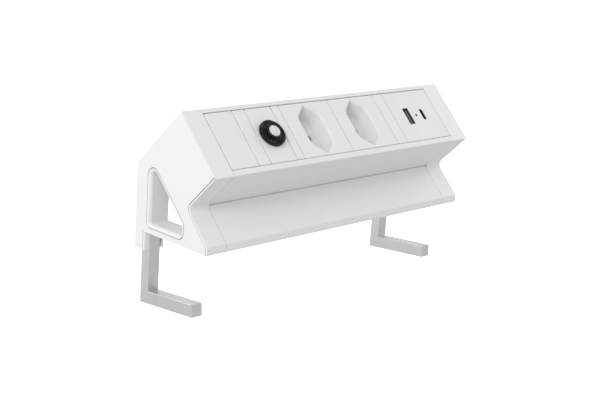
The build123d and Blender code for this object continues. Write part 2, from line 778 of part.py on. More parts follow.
def breaker_bimetal(x):
    """The bowed bimetal strip that trips the breaker."""
    strip = face_block(x - 4.6, x + 4.6, CENTRE_S + 4.5, CENTRE_S + 5.1, 22.0, 25.5)
    foot = face_block(x - 4.6, x - 2.9, CENTRE_S + 1.5, CENTRE_S + 4.6, 24.0, 26.0)
    point = face_block(x + 2.9, x + 4.6, CENTRE_S + 1.5, CENTRE_S + 4.6, 24.0, 26.0)
    return strip + foot + point


def breaker_button(x):
    """The domed reset button, its stem and the collar that keeps it in."""
    cap = face_rod(x, CENTRE_S, -BUTTON_FRONT, BUTTON_BACK, BUTTON_RADIUS)
    front_rim = cap.edges().filter_by(GeomType.CIRCLE).sort_by(Axis.Z)[-1]
    cap = fillet(front_rim, BUTTON_ROUND)
    stem = face_rod(x, CENTRE_S, BUTTON_BACK - 1, BUTTON_STEM_BACK, BUTTON_STEM_RADIUS)
    collar = face_rod(x, CENTRE_S, *BUTTON_COLLAR, BUTTON_COLLAR_RADIUS)
    return cap + stem + collar


def breaker_spring(x):
    """The return spring under the collar, drawn at its pressed length."""
    turns, pitch, coil_radius, wire = 3.0, 1.5, 3.0, 0.35
    coil = Helix(pitch=pitch, height=turns * pitch, radius=coil_radius)
    section = Plane(origin=coil @ 0, z_dir=coil % 0) * Circle(wire)
    spring = sweep(section, path=coil, is_frenet=True)
    return face_plane.location * Pos(x, -CENTRE_S, -20.6) * spring


def breaker_spring_seat(x):
    """A bracket inside the case that the spring stands on."""
    return face_block(x - 5.5, x + 5.5, CENTRE_S - 9.5, CENTRE_S + 3.8, 21.1, 21.9)


# ---------------------------------------------------------------- USB charger


def usb_face_plate(index):
    plate = module_plate(index)
    plate -= face_block(
        USB_A_X - USB_A_WIDTH / 2 - PORT_GAP,
        USB_A_X + USB_A_WIDTH / 2 + PORT_GAP,
        CENTRE_S - USB_A_HEIGHT / 2 - PORT_GAP,
        CENTRE_S + USB_A_HEIGHT / 2 + PORT_GAP,
        -1,
        FLANGE_BACK + 1,
    )
    slot = SlotOverall(USB_C_HEIGHT + 2 * PORT_GAP, USB_C_WIDTH + 2 * PORT_GAP, rotation=90)
    plate -= extrude(face_sheet(slot, USB_C_X, CENTRE_S, -1), amount=-FLANGE_BACK - 2)
    return plate - face_rod(LED_X, CENTRE_S, -1, FLANGE_BACK + 1, LED_RADIUS + LED_GAP)


def usb_shells():
    """The folded metal shells of the two ports."""
    front, back = PLATE_FRONT + SHELL_SETBACK, USB_DEPTH
    wide, tall = USB_A_WIDTH / 2, USB_A_HEIGHT / 2
    a_shell = face_block(USB_A_X - wide, USB_A_X + wide, CENTRE_S - tall, CENTRE_S + tall, front, back)
    a_shell -= face_block(
        USB_A_X - wide + SHELL_WALL,
        USB_A_X + wide - SHELL_WALL,
        CENTRE_S - tall + SHELL_WALL,
        CENTRE_S + tall - SHELL_WALL,
        front - 1,
        back - 1,
    )
    outside = SlotOverall(USB_C_HEIGHT, USB_C_WIDTH, rotation=90)
    inside = SlotOverall(
        USB_C_HEIGHT - 2 * SHELL_WALL, USB_C_WIDTH - 2 * SHELL_WALL, rotation=90
    )
    c_shell = extrude(face_sheet(outside, USB_C_X, CENTRE_S, front), amount=front - back)
    c_shell -= extrude(face_sheet(inside, USB_C_X, CENTRE_S, front - 1), amount=front - back)
    return a_shell, c_shell


def usb_tongues():
    """The contact tongue inside each port."""
    a_tongue = face_block(USB_A_X + 0.3, USB_A_X + 2.2, CENTRE_S - 5.5, CENTRE_S + 5.5, 1.6, 13.9)
    c_tongue = face_block(USB_C_X - 0.35, USB_C_X + 0.35, CENTRE_S - 3.3, CENTRE_S + 3.3, 1.8, 13.9)
    return a_tongue, c_tongue


def usb_case():
    """The charger's rear shell, open to the face plate."""
    front = FLANGE_BACK + MODULE_GAP
    case = face_block(CASE_LEFT, CASE_RIGHT, BASE_TOP_S, BASE_BOTTOM_S, front, CASE_BACK)
    case -= face_block(
        CASE_LEFT + CASE_WALL,
        CASE_RIGHT - CASE_WALL,
        BASE_TOP_S + CASE_WALL,
        BASE_BOTTOM_S - CASE_WALL,
        front - 1,
        CASE_BACK - CASE_WALL,
    )
    room = WIRE_RADIUS + 2 * MODULE_GAP
    for s in wire_entry_rows():
        entry = (s - room, s + room, ENTRY_BACK - room, ENTRY_BACK + room)
        case -= face_block(CASE_LEFT - 1, CASE_LEFT + CASE_WALL + 1, *entry)
    return case


def usb_board():
    margin = CASE_WALL + BOARD_MARGIN
    return face_block(
        CASE_LEFT + margin,
        CASE_RIGHT - margin,
        BASE_TOP_S + margin,
        BASE_BOTTOM_S - margin,
        USB_DEPTH + BOARD_GAP,
        USB_DEPTH + BOARD_GAP + BOARD,
    )


def usb_transformer():
    """The ferrite core around its taped winding."""
    board_back = USB_DEPTH + BOARD_GAP + BOARD
    winding = face_block(202.0, 214.0, 8.5, 27.5, board_back + BOARD_GAP, board_back + 9.8)
    core = face_block(199.0, 217.0, 10.0, 26.0, board_back + 1.8, board_back + 6.8)
    return core + winding


def usb_capacitors():
    places = [(190.0, 36.5, 4.0), (200.0, 36.5, 4.0), (209.5, 36.5, 3.2)]
    front = USB_DEPTH + BOARD_GAP + BOARD + BOARD_GAP
    return [face_rod(x, s, front, front + 9.3, radius) for x, s, radius in places]


def usb_light_guide():
    return face_rod(LED_X, CENTRE_S, PLATE_FRONT - 0.1, USB_DEPTH, LED_RADIUS)


# ---------------------------------------------------------------- inlet, wires and earth


def inlet_cutout():
    x_span, s_span = inlet_spans(INLET_GAP)
    return face_block(*x_span, *s_span, BOX_BACK - 2 * WALL, BOX_BACK + 2 * WALL)


def inlet_spans(grow):
    """The x and s spans of the inlet body behind its flange, grown on every side."""
    half_width = INLET_WIDTH / 2 - INLET_FLANGE + grow
    half_height = INLET_HEIGHT / 2 - INLET_FLANGE + grow
    return (
        (INLET_X - half_width, INLET_X + half_width),
        (CENTRE_S - half_height, CENTRE_S + half_height),
    )


def mains_inlet_body():
    """A three-pole snap-in inlet that opens to the rear, under the roof."""
    x_span, s_span = inlet_spans(0)
    flange_x, flange_s = inlet_spans(INLET_FLANGE)
    well_x, well_s = inlet_spans(-INLET_WALL)
    body = face_block(*x_span, *s_span, INLET_FRONT, BOX_BACK + 1)
    body += face_block(*flange_x, *flange_s, BOX_BACK, BOX_BACK + 2)
    body -= face_block(*well_x, *well_s, INLET_FLOOR, BOX_BACK + 3)
    for x in inlet_pin_places():
        hole = INLET_PIN_RADIUS + INLET_GAP
        body -= face_rod(x, CENTRE_S, INLET_FRONT - 1, INLET_FLOOR + 1, hole)
    return body


def inlet_pin_places():
    """x of the neutral, earth and line pins."""
    return (INLET_X - INLET_PIN_SPACING, INLET_X, INLET_X + INLET_PIN_SPACING)


def mains_inlet_pins():
    span = (INLET_FRONT, INLET_PIN_BACK)
    return [face_rod(x, CENTRE_S, *span, INLET_PIN_RADIUS) for x in inlet_pin_places()]


def wire(*route):
    """An insulated wire through (x, s, d) points, straight runs joined by arcs."""
    points = [face_plane.from_local_coords((x, -s, -d)) for x, s, d in route]
    radii = []
    for before, here, after in zip(points, points[1:], points[2:]):
        turn = radians((here - before).get_angle(after - here))
        shorter = min((here - before).length, (after - here).length)
        radii.append(0.45 * shorter * (1 + cos(turn)) / sin(turn))
    path = FilletPolyline(*points, radius=radii) if radii else Line(*points)
    section = Plane(origin=path @ 0, z_dir=path % 0) * Circle(WIRE_RADIUS)
    return sweep(section, path=path)


def terminal_ends(index, pin):
    """x of a contact tail's left and right faces, and its s."""
    x, s = pin_places(centre_of(index))[pin]
    return x - CONTACT_TAIL, x + CONTACT_TAIL, s


def wire_entry_rows():
    """s of the charger's line and neutral wires."""
    return (CENTRE_S - PIN_SPACING / 2, CENTRE_S + PIN_SPACING / 2)


def earth_stud():
    """(x, s) of the screw that earths the extrusion."""
    return (EARTH_STUD_X, CENTRE_S)


def line_wires(breaker_x):
    line_x = inlet_pin_places()[2]
    feed_blade, load_blade = blade_places(breaker_x)
    blade_top = CENTRE_S - BLADE_WIDTH / 2
    first_left, first_right, s = terminal_ends(4, 0)
    second_left, second_right, _ = terminal_ends(5, 0)
    return [
        wire(
            (line_x, CENTRE_S, INLET_FRONT),
            (line_x, CENTRE_S, 12.5),
            (line_x + 2, 9.5, 12.0),
            (feed_blade, 9.5, WIRE_BACK),
            (feed_blade, blade_top, WIRE_BACK),
        ),
        wire(
            (load_blade, blade_top, WIRE_BACK),
            (load_blade, s, WIRE_BACK),
            (first_left, s, WIRE_BACK),
        ),
        wire((first_right, s, WIRE_BACK), (second_left, s, WIRE_BACK)),
        wire(
            (second_right, s, WIRE_BACK),
            (171.0, s, WIRE_BACK),
            (174.0, s, 22.0),
            (183.5, s, 22.0),
        ),
    ]


def neutral_wires():
    neutral_x = inlet_pin_places()[0]
    first_left, first_right, s = terminal_ends(4, 1)
    second_left, second_right, _ = terminal_ends(5, 1)
    return [
        wire(
            (neutral_x, CENTRE_S, INLET_FRONT),
            (neutral_x, CENTRE_S, 12.5),
            (neutral_x + 6, 39.0, 12.0),
            (52.0, 39.5, 14.0),
            (68.5, 38.5, 20.0),
            (76.5, s, WIRE_BACK),
            (first_left, s, WIRE_BACK),
        ),
        wire((first_right, s, WIRE_BACK), (second_left, s, WIRE_BACK)),
        wire(
            (second_right, s, WIRE_BACK),
            (171.0, s, WIRE_BACK),
            (174.0, s, 22.0),
            (183.5, s, 22.0),
        ),
    ]


def earth_wires():
    earth_x = inlet_pin_places()[1]
    first_left, first_right, s = terminal_ends(4, 2)
    second_left, second_right, _ = terminal_ends(5, 2)
    stud_x, stud_s = earth_stud()
    return [
        wire(
            (earth_x, CENTRE_S, INLET_FRONT),
            (earth_x, CENTRE_S, 12.0),
            (earth_x + 4, 5.5, 10.0),
            (55.0, 5.5, 12.0),
            (72.0, 8.0, 15.0),
            (73.5, s, 24.0),
            (76.5, s, WIRE_BACK),
            (first_left, s, WIRE_BACK),
        ),
        wire((first_right, s, WIRE_BACK), (second_left, s, WIRE_BACK)),
        wire(
            (second_right, s, WIRE_BACK),
            (154.0, s, WIRE_BACK),
            (158.0, s, 36.7),
            (stud_x - 9.0, s, 36.7),
        ),
    ]


def earth_ring_terminal():
    x, s = earth_stud()
    ring = face_rod(x, s, 37.5, 38.3, 4.0)
    ring += face_block(x - 9.0, x - 3.9, s - 1.3, s + 1.3, 35.5, 38.3)
    return ring - face_rod(x, s, 37, 39, 2.1)


def earth_screw():
    x, s = earth_stud()
    head = face_rod(x, s, 35.2, 37.4, 3.6)
    head -= face_block(x - 4, x + 4, s - 0.5, s + 0.5, 34.5, 36.2)
    return head + face_rod(x, s, 37.0, BOX_BACK + 1.5, 2.0)


# ---------------------------------------------------------------- write every node

save_pair("end_cap", end_cap())
save_pair("side_cover", side_cover())
save("cap_screws", *cap_screws())
save("main_profile", main_profile())
save("front_apron", front_apron())
save_pair("clamp_arm", clamp_arm())
save_pair("clamp_screw", clamp_screw())
save("clamp_washers", *clamp_washers())

save("blank_plate", plate_with_legs(0))
for number, index in enumerate((1, 3, 6), start=1):
    save(f"spacer_{number}", plate_with_legs(index))

breaker_x = centre_of(2)
neck_hole = face_rod(breaker_x, CENTRE_S, -1, FLANGE_BACK + 1, NECK_RADIUS + NECK_GAP)
save("breaker_plate", module_plate(2) - neck_hole)
save("breaker_body", breaker_body(breaker_x))
save("breaker_nut", breaker_nut(breaker_x))
save("breaker_button", breaker_button(breaker_x))
save("breaker_spring", breaker_spring(breaker_x))
save("breaker_spring_seat", breaker_spring_seat(breaker_x))
save("breaker_blades", *breaker_blades(breaker_x))
save("breaker_bimetal", breaker_bimetal(breaker_x))

for number, index in enumerate((4, 5), start=1):
    save(f"socket_face_{number}", socket_face(index))
    save(f"socket_base_{number}", socket_base(index))
    for kind, (pin_x, pin_s) in zip(("line", "neutral", "earth"), pin_places(centre_of(index))):
        save(f"{kind}_contact_{number}", contact(pin_x, pin_s))

usb_a_shell, usb_c_shell = usb_shells()
usb_a_tongue, usb_c_tongue = usb_tongues()
save("usb_face_plate", usb_face_plate(7))
save("usb_a_shell", usb_a_shell)
save("usb_c_shell", usb_c_shell)
save("usb_a_tongue", usb_a_tongue)
save("usb_c_tongue", usb_c_tongue)
save("usb_light_guide", usb_light_guide())
save("usb_board", usb_board())
save("usb_transformer", usb_transformer())
save("usb_capacitors", *usb_capacitors())
save("usb_case", usb_case())

save("mains_inlet_body", mains_inlet_body())
save("mains_inlet_pins", *mains_inlet_pins())
save("line_wires", *line_wires(breaker_x))
save("neutral_wires", *neutral_wires())
save("earth_wires", *earth_wires())
save("earth_ring_terminal", earth_ring_terminal())
save("earth_screw", earth_screw())
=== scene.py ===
import json
from math import atan2, cos, pi, radians, sin, sqrt, tan

import bmesh
import bpy
from mathutils import Matrix, Vector


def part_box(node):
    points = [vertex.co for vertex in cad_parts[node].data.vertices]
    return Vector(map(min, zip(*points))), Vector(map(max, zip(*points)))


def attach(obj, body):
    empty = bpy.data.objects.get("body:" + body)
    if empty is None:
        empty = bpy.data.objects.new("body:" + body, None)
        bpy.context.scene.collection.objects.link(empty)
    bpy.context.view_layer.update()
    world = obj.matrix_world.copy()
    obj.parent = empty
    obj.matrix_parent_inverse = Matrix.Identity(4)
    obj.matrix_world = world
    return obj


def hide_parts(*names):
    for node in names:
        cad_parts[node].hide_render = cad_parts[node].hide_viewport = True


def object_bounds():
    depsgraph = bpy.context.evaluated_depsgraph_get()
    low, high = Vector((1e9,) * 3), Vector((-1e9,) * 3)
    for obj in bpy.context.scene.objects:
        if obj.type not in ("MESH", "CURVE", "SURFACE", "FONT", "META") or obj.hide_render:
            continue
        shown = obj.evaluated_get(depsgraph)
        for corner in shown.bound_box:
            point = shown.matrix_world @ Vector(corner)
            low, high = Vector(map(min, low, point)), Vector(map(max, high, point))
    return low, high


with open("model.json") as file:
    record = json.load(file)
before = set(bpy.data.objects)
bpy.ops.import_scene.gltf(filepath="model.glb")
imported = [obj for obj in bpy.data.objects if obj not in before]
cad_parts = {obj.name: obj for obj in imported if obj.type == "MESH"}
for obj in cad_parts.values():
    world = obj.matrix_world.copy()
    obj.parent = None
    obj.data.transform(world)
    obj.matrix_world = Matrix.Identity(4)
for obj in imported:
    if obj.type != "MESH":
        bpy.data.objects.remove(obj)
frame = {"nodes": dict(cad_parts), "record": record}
cad_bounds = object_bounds()

# Desk power strip, in metres: +X to the user's right, +Y away from the user, +Z up.

# ---------------------------------------------------------------- sizes

MM = 0.001
SLOPE = 1 / sqrt(2)  # the socket face and the roof lie at 45 degrees
TOP_Y, TOP_Z = -29.5 * MM, 83.0 * MM
FACE_HEIGHT = 48.5 * MM
UNDERCUT = 33.2 * MM
ROOF_DEPTH = 56.4 * MM
LIP_Y = -59.5 * MM
LIP_HEIGHT = 5.5 * MM
SKIRT_DROP = 12.5 * MM
VALLEY_RADIUS = 4.2 * MM
LIP_RADIUS = 2.0 * MM
LIP_FOOT_RADIUS = 1.2 * MM
WALL = 1.6 * MM
CAP_EDGE = 0.4 * MM
CAP_REAR_ROUND = 1.0 * MM

COVER = 2.0 * MM
COVER_MARGIN = 1.0 * MM
COVER_SKIRT_Y = 1.8 * MM
COVER_VALLEY_SHIFT = 0.98  # in margins, so that the margin stays even round the valley
SEAM = 0.55 * MM
SEAM_START = 0.9 * MM  # how far behind the socket face the seam reaches its width
SEAM_SHARE_AT_FACE = 0.1  # how much of its width the seam has at the socket face
SEAM_CHANNEL = 2.5 * MM  # how far the seam runs on behind the side cover
SEAM_WIDENING = 0.3 * MM  # how much wider the seam is behind the side cover
END_GAP = 0.25 * MM  # between an extrusion's end and the end cap

WINDOW_REAR = -1.1 * MM
WINDOW_FRONT = -36.8 * MM
WINDOW_FLOOR = 4.0 * MM
WINDOW_SLANT = -51.5 * MM  # y less z, all along the window's slanted edge
WINDOW_ROUND = 2.5 * MM
FLARE_STEPS = 6

LIP_BACK = 2.0 * MM
TOP_LIP = 3.1 * MM
BOTTOM_LIP = 44.5 * MM
PLATE_TOP = 3.5 * MM
PLATE_BOTTOM = 44.0 * MM
PLATE_FRONT = 0.3 * MM
PLATE_CORNER = 0.9 * MM
PLATE_EDGE = 0.45 * MM
PLATE_SIDE_GAP = 0.16 * MM
FLANGE_TOP = 1.75 * MM
FLANGE_BOTTOM = 46.75 * MM
FLANGE_BACK = 4.0 * MM
BOX_BACK = 40.0 * MM
CENTRE = 23.8 * MM  # down the socket face to its middle line

BAR_BACK_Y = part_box("clamp_arm_left")[1].y
BAR_FRONT_Y = 0.3 * MM
BAR_SIDE = (111.35 - 4.2) * MM
BAR_WIDTH = 8.4 * MM
BAR_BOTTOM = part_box("clamp_arm_left")[0].z
BAR_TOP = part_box("clamp_arm_left")[1].z
ARM_LENGTH = 52.3 * MM
ARM_HEIGHT = 8.4 * MM
ARM_TILT = radians(5.4)
BAR_DROP = 8.0 * MM  # how far the bars come down from the stored position
BAR_THREAD_RADIUS = 2.55 * MM
BAR_THREAD_BOTTOM = -44.5 * MM
GUIDE_GAP = 0.2 * MM
SHOULDER = 36.8 * MM  # underside of the shoulder that carries the screw's head
SHOULDER_THICKNESS = 2.7 * MM
KEY_HOLE_RADIUS = 4.65 * MM
SHANK_HOLE_RADIUS = 2.7 * MM

RECESS_HALF_LENGTH = 18.2 * MM
RECESS_HALF_WIDTH = 9.8 * MM
RECESS_HALF_SIDE = 9.9 * MM
RECESS_DEPTH = 12.0 * MM
RECESS_DRAFT = radians(4)
RECESS_ROUND = 2.3 * MM
RECESS_FLOOR_ROUND = 0.3 * MM
CUP_WALL = 1.5 * MM
PIN_HOLE = 2.1 * MM
PIN_HOLE_FLARE = 0.3 * MM
PIN_SPACING = 19.0 * MM
PIN_OFFSET = 2.5 * MM

CLIP_OUT = 2.4 * MM  # how far the rail and the apron's clip reach out from the socket box
RAIL_FRONT, RAIL_BACK = 36.2 * MM, 38.0 * MM
CLIP_FRONT, CLIP_BACK = 33.9 * MM, 35.9 * MM
APRON_THICKNESS = 2.2 * MM
APRON_REAR_Y = -37.5 * MM
EXTRUSION_EDGE = 0.12 * MM
INLET_RIM = 1.5 * MM
INLET_HALF_HEIGHT = 7.5 * MM

NUT_RADIUS = 9.3 * MM
NUT_FRONT = 3.2 * MM
NUT_TEETH = 36
NUT_TOOTH = 0.55 * MM
NECK_RADIUS = 5.4 * MM
BUTTON_RADIUS = 3.9 * MM
BUTTON_FRONT = 5.3 * MM

USB_A_WIDTH, USB_A_HEIGHT = 5.6 * MM, 13.1 * MM
USB_C_WIDTH, USB_C_HEIGHT = 3.2 * MM, 9.0 * MM
PORT_GAP = 0.15 * MM
LIGHT_RADIUS = 0.9 * MM
LIGHT_GAP = 0.05 * MM
PORT_REACH = {"usb_a_tongue": 5.5 * MM, "usb_c_tongue": 3.3 * MM}
TONGUE_FRONT = {"usb_a_tongue": 1.6 * MM, "usb_c_tongue": 1.8 * MM}
TONGUE_BACK = 13.9 * MM
CONTACT_BACK = 13.5 * MM
CONTACT_WRAP = 0.08 * MM  # how far the contacts stand out in front of the tongue

SCREW_RADIUS = 2.5 * MM
THREAD_PITCH = 0.8 * MM
THREAD_DEPTH = 0.38 * MM
SCREW_HEAD_RADIUS = 4.25 * MM
SCREW_HEAD = 4.2 * MM
SCREW_POINTS = 48
THREAD_STEPS = 5
HEX_KEY = 4.0 * MM
HEX_DEPTH = 2.6 * MM

HALF = cad_bounds[1][0]
CAP_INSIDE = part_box("main_profile")[1].x
EXTRUSION_END = CAP_INSIDE - END_GAP

ROUND_POINTS = 48
ROUND_STEP = radians(9)
MERGE = 0.001 * MM
HAIR = 0.01 * MM
FLAT_ANGLE = radians(0.3)
BEVEL_ANGLE = radians(30)
SHADING_ANGLE = radians(40)

body_of = {
    node: body for body, nodes in frame["record"]["behaviour"]["bodies"].items() for node in nodes
}
slot_of = {part["node"]: part["material_slot"] for part in frame["record"]["subparts"]}


# ---------------------------------------------------------------- outlines and places


def in_face(s, d):
    """(y, z) of the point s down the socket face from its top edge and d behind it."""
    return (TOP_Y + SLOPE * (d - s), TOP_Z - SLOPE * (d + s))


def on_face(x, s, d):
    return Vector((x, *in_face(s, d)))


def middle_of(node):
    low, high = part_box(node)
    return (low.x + high.x) / 2


def sided(name, side):
    """The name of the piece on that side: -1 is the left, 1 the right."""
    return f"{name}_left" if side < 0 else f"{name}_right"


def screw_axis(side):
    """(x, y) of the clamp screw on that side."""
    return (side * (BAR_SIDE + BAR_WIDTH / 2), (BAR_FRONT_Y + BAR_BACK_Y) / 2)


def across(side):
    """Places (y, z) outlines at a distance from the middle, to the right or, mirrored, the left."""
    return lambda y, z, distance: Vector((side * distance, y, z))


def upright(x, y, z):
    return Vector((x, y, z))


def rounded(corners, inset=0.0):
    """The points of a closed outline through (u, v, radius) corners, moved inwards by inset.

    A corner gives the same number of points at any inset, so that outlines can be lofted.
    """
    places = [Vector(corner[:2]) for corner in corners]
    count = len(places)
    area = sum(places[i - 1].cross(places[i]) for i in range(count))
    inward = 1 if area > 0 else -1
    points = []
    for i, here in enumerate(places):
        before = (here - places[i - 1]).normalized()
        after = (places[(i + 1) % count] - here).normalized()
        normal = Vector((-before.y, before.x)) * inward
        next_normal = Vector((-after.y, after.x)) * inward
        corner = here + (normal + next_normal) * inset / (1 + normal.dot(next_normal))
        turn = atan2(before.cross(after), before.dot(after))
        convex = turn * inward > 0
        if not corners[i][2]:
            points.append(corner)
            continue
        radius = max(corners[i][2] + (-inset if convex else inset), 0.0)
        start = corner - before * radius * tan(abs(turn) / 2)
        centre = start + normal * (radius if convex else -radius)
        steps = max(2, round(abs(turn) / ROUND_STEP))
        for step in range(steps + 1):
            points.append(centre + Matrix.Rotation(turn * step / steps, 2) @ (start - centre))
    return points


def circle(x, y, radius, count=ROUND_POINTS):
    return [
        (x + radius * cos(2 * pi * i / count), y + radius * sin(2 * pi * i / count))
        for i in range(count)
    ]


def toothed(x, y, radius, bite, teeth, steps=8):
    """A round outline with a shallow wave of that many teeth cut into it."""
    count = teeth * steps
    points = []
    for i in range(count):
        reach = radius - bite * (1 - cos(2 * pi * i / steps)) / 2
        angle = 2 * pi * i / count
        points.append((x + reach * cos(angle), y + reach * sin(angle)))
    return points


def rectangle(u0, u1, v0, v1, radius=0.0):
    return [(u0, v0, radius), (u1, v0, radius), (u1, v1, radius), (u0, v1, radius)]


# ---------------------------------------------------------------- mesh building


def as_piece(mesh, name):
    """A finished bmesh as an object of the scene."""
    bmesh.ops.remove_doubles(mesh, verts=mesh.verts, dist=MERGE)
    bmesh.ops.recalc_face_normals(mesh, faces=mesh.faces)
    data = bpy.data.meshes.new(name)
    mesh.to_mesh(data)
    mesh.free()
    piece = bpy.data.objects.new(name, data)
    bpy.context.scene.collection.objects.link(piece)
    return piece


def loft(name, rings, place, ring_shaped=False):
    """A closed solid through rings, each a level and an outline of the same number of points.

    A ring-shaped solid has no ends: its last ring joins its first.
    """
    mesh = bmesh.new()
    loops = [[mesh.verts.new(place(u, v, level)) for u, v in outline] for level, outline in rings]
    following = loops[1:] + loops[:1] if ring_shaped else loops[1:]
    for lower, upper in zip(loops, following):
        for i in range(len(lower)):
            mesh.faces.new((lower[i - 1], lower[i], upper[i], upper[i - 1]))
    if not ring_shaped:
        mesh.faces.new(loops[0])
        mesh.faces.new(loops[-1])
    return as_piece(mesh, name)


def prism(name, outline, low, high, place):
    return loft(name, [(low, outline), (high, outline)], place)


def rim(corners, level, radius, inwards, steps=4):
    """Rings that round a solid's edge over, from its wall to its flat end at that level."""
    rings = []
    for step in range(steps + 1):
        angle = pi / 2 * step / steps
        rings.append((
            level + inwards * radius * (1 - sin(angle)),
            rounded(corners, radius * (1 - cos(angle))),
        ))
    return rings


def settle(piece):
    """Applies a piece's modifiers and merges the flat faces that they leave in pieces."""
    graph = bpy.context.evaluated_depsgraph_get()
    data = bpy.data.meshes.new_from_object(piece.evaluated_get(graph))
    piece.modifiers.clear()
    piece.data = data
    mesh = bmesh.new()
    mesh.from_mesh(data)
    bmesh.ops.remove_doubles(mesh, verts=mesh.verts, dist=MERGE)
    bmesh.ops.dissolve_limit(
        mesh,
        angle_limit=FLAT_ANGLE,
        verts=mesh.verts,
        edges=mesh.edges,
        use_dissolve_boundaries=False,
    )
    mesh.to_mesh(data)
    mesh.free()


def combine(piece, operation, *tools):
    """Cuts tools out of a piece (DIFFERENCE) or joins them to it (UNION)."""
    for tool in tools:
        change = piece.modifiers.new(tool.name, "BOOLEAN")
        change.operation = operation
        change.solver = "EXACT"
        change.object = tool
    settle(piece)
    for tool in tools:
        bpy.data.objects.remove(tool)


def soften(piece, width, segments=2, share=lambda middle: 1.0):
    """Rounds the sharp edges; share gives how much of the width an edge gets, by its middle."""
    mesh = bmesh.new()
    mesh.from_mesh(piece.data)
    weights = mesh.edges.layers.float.new("bevel_weight_edge")
    for edge in mesh.edges:
        sharp = len(edge.link_faces) == 2 and edge.calc_face_angle(0) > BEVEL_ANGLE
        if sharp:
            edge[weights] = share((edge.verts[0].co + edge.verts[1].co) / 2)
    mesh.to_mesh(piece.data)
    mesh.free()
    bevel = piece.modifiers.new("edges", "BEVEL")
    bevel.limit_method = "WEIGHT"
    bevel.width = width
    bevel.segments = segments
    bevel.use_clamp_overlap = False
    settle(piece)


def stand_for(piece, node, *others):
    """The piece takes a CAD node's place: its body, its slot and its finish."""
    piece.data.materials.clear()
    piece.data.materials.append(finishes[slot_of[node]])
    piece.data.shade_smooth()
    piece.data.set_sharp_from_angle(angle=SHADING_ANGLE)
    normals = piece.modifiers.new("normals", "WEIGHTED_NORMAL")
    normals.keep_sharp = True
    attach(piece, body_of[node])
    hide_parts(node, *others)


# ---------------------------------------------------------------- finishes

NOISE_LOW, NOISE_HIGH = 0.3, 0.7  # most of a noise texture's values lie between these
HANDLING_SIZE = 18 * MM
DARKEST_TONE = 0.975
TONE_SIZE = 3  # in grains

# colour, roughness, metallic, specular level, grain size, grain depth, variation of roughness
FINISHES = {
    "white_coated_aluminium": ((0.80, 0.80, 0.80), 0.58, 0.0, 0.4, 0.35 * MM, 0.006 * MM, 0.10),
    "white_cap_plastic": ((0.81, 0.81, 0.81), 0.52, 0.0, 0.4, 0.25 * MM, 0.004 * MM, 0.12),
    "white_module_plastic": ((0.80, 0.80, 0.80), 0.52, 0.0, 0.3, 0.30 * MM, 0.003 * MM, 0.12),
    "button_white": ((0.70, 0.70, 0.70), 0.20, 0.0, 0.5, 0.30 * MM, 0.002 * MM, 0.15),
    "grey_plastic": ((0.06, 0.06, 0.063), 0.50, 0.0, 0.5, 0.25 * MM, 0.005 * MM, 0.15),
    "black_plastic": ((0.006, 0.006, 0.0065), 0.28, 0.0, 0.32, 0.25 * MM, 0.010 * MM, 0.20),
    "satin_aluminium": ((0.66, 0.66, 0.65), 0.38, 0.85, 0.5, 0.20 * MM, 0.004 * MM, 0.20),
    "zinc_plated_steel": ((0.62, 0.63, 0.65), 0.30, 1.0, 0.5, 0.40 * MM, 0.004 * MM, 0.30),
    "brass": ((0.76, 0.55, 0.24), 0.28, 1.0, 0.5, 0.50 * MM, 0.003 * MM, 0.30),
    # port_steel's dark base colour is painted shade: the port shells' steel is darkened to look as
    # it does in shadow
    "port_steel": ((0.20, 0.20, 0.205), 0.30, 1.0, 0.5, 0.40 * MM, 0.003 * MM, 0.25),
    "light_guide": ((0.003, 0.040, 0.036), 0.3, 0.0, 0.1, 0.50 * MM, 0.001 * MM, 0.10),
    "circuit_board": ((0.02, 0.16, 0.06), 0.40, 0.0, 0.5, 0.60 * MM, 0.010 * MM, 0.20),
    "transformer_core": ((0.05, 0.05, 0.055), 0.60, 0.0, 0.5, 0.30 * MM, 0.020 * MM, 0.20),
    "capacitor_can": ((0.03, 0.04, 0.09), 0.35, 0.0, 0.5, 0.80 * MM, 0.004 * MM, 0.20),
    "brown_insulation": ((0.16, 0.07, 0.03), 0.45, 0.0, 0.5, 0.40 * MM, 0.006 * MM, 0.15),
    "blue_insulation": ((0.03, 0.12, 0.42), 0.45, 0.0, 0.5, 0.40 * MM, 0.006 * MM, 0.15),
    "green_insulation": ((0.10, 0.32, 0.06), 0.45, 0.0, 0.5, 0.40 * MM, 0.006 * MM, 0.15),
}


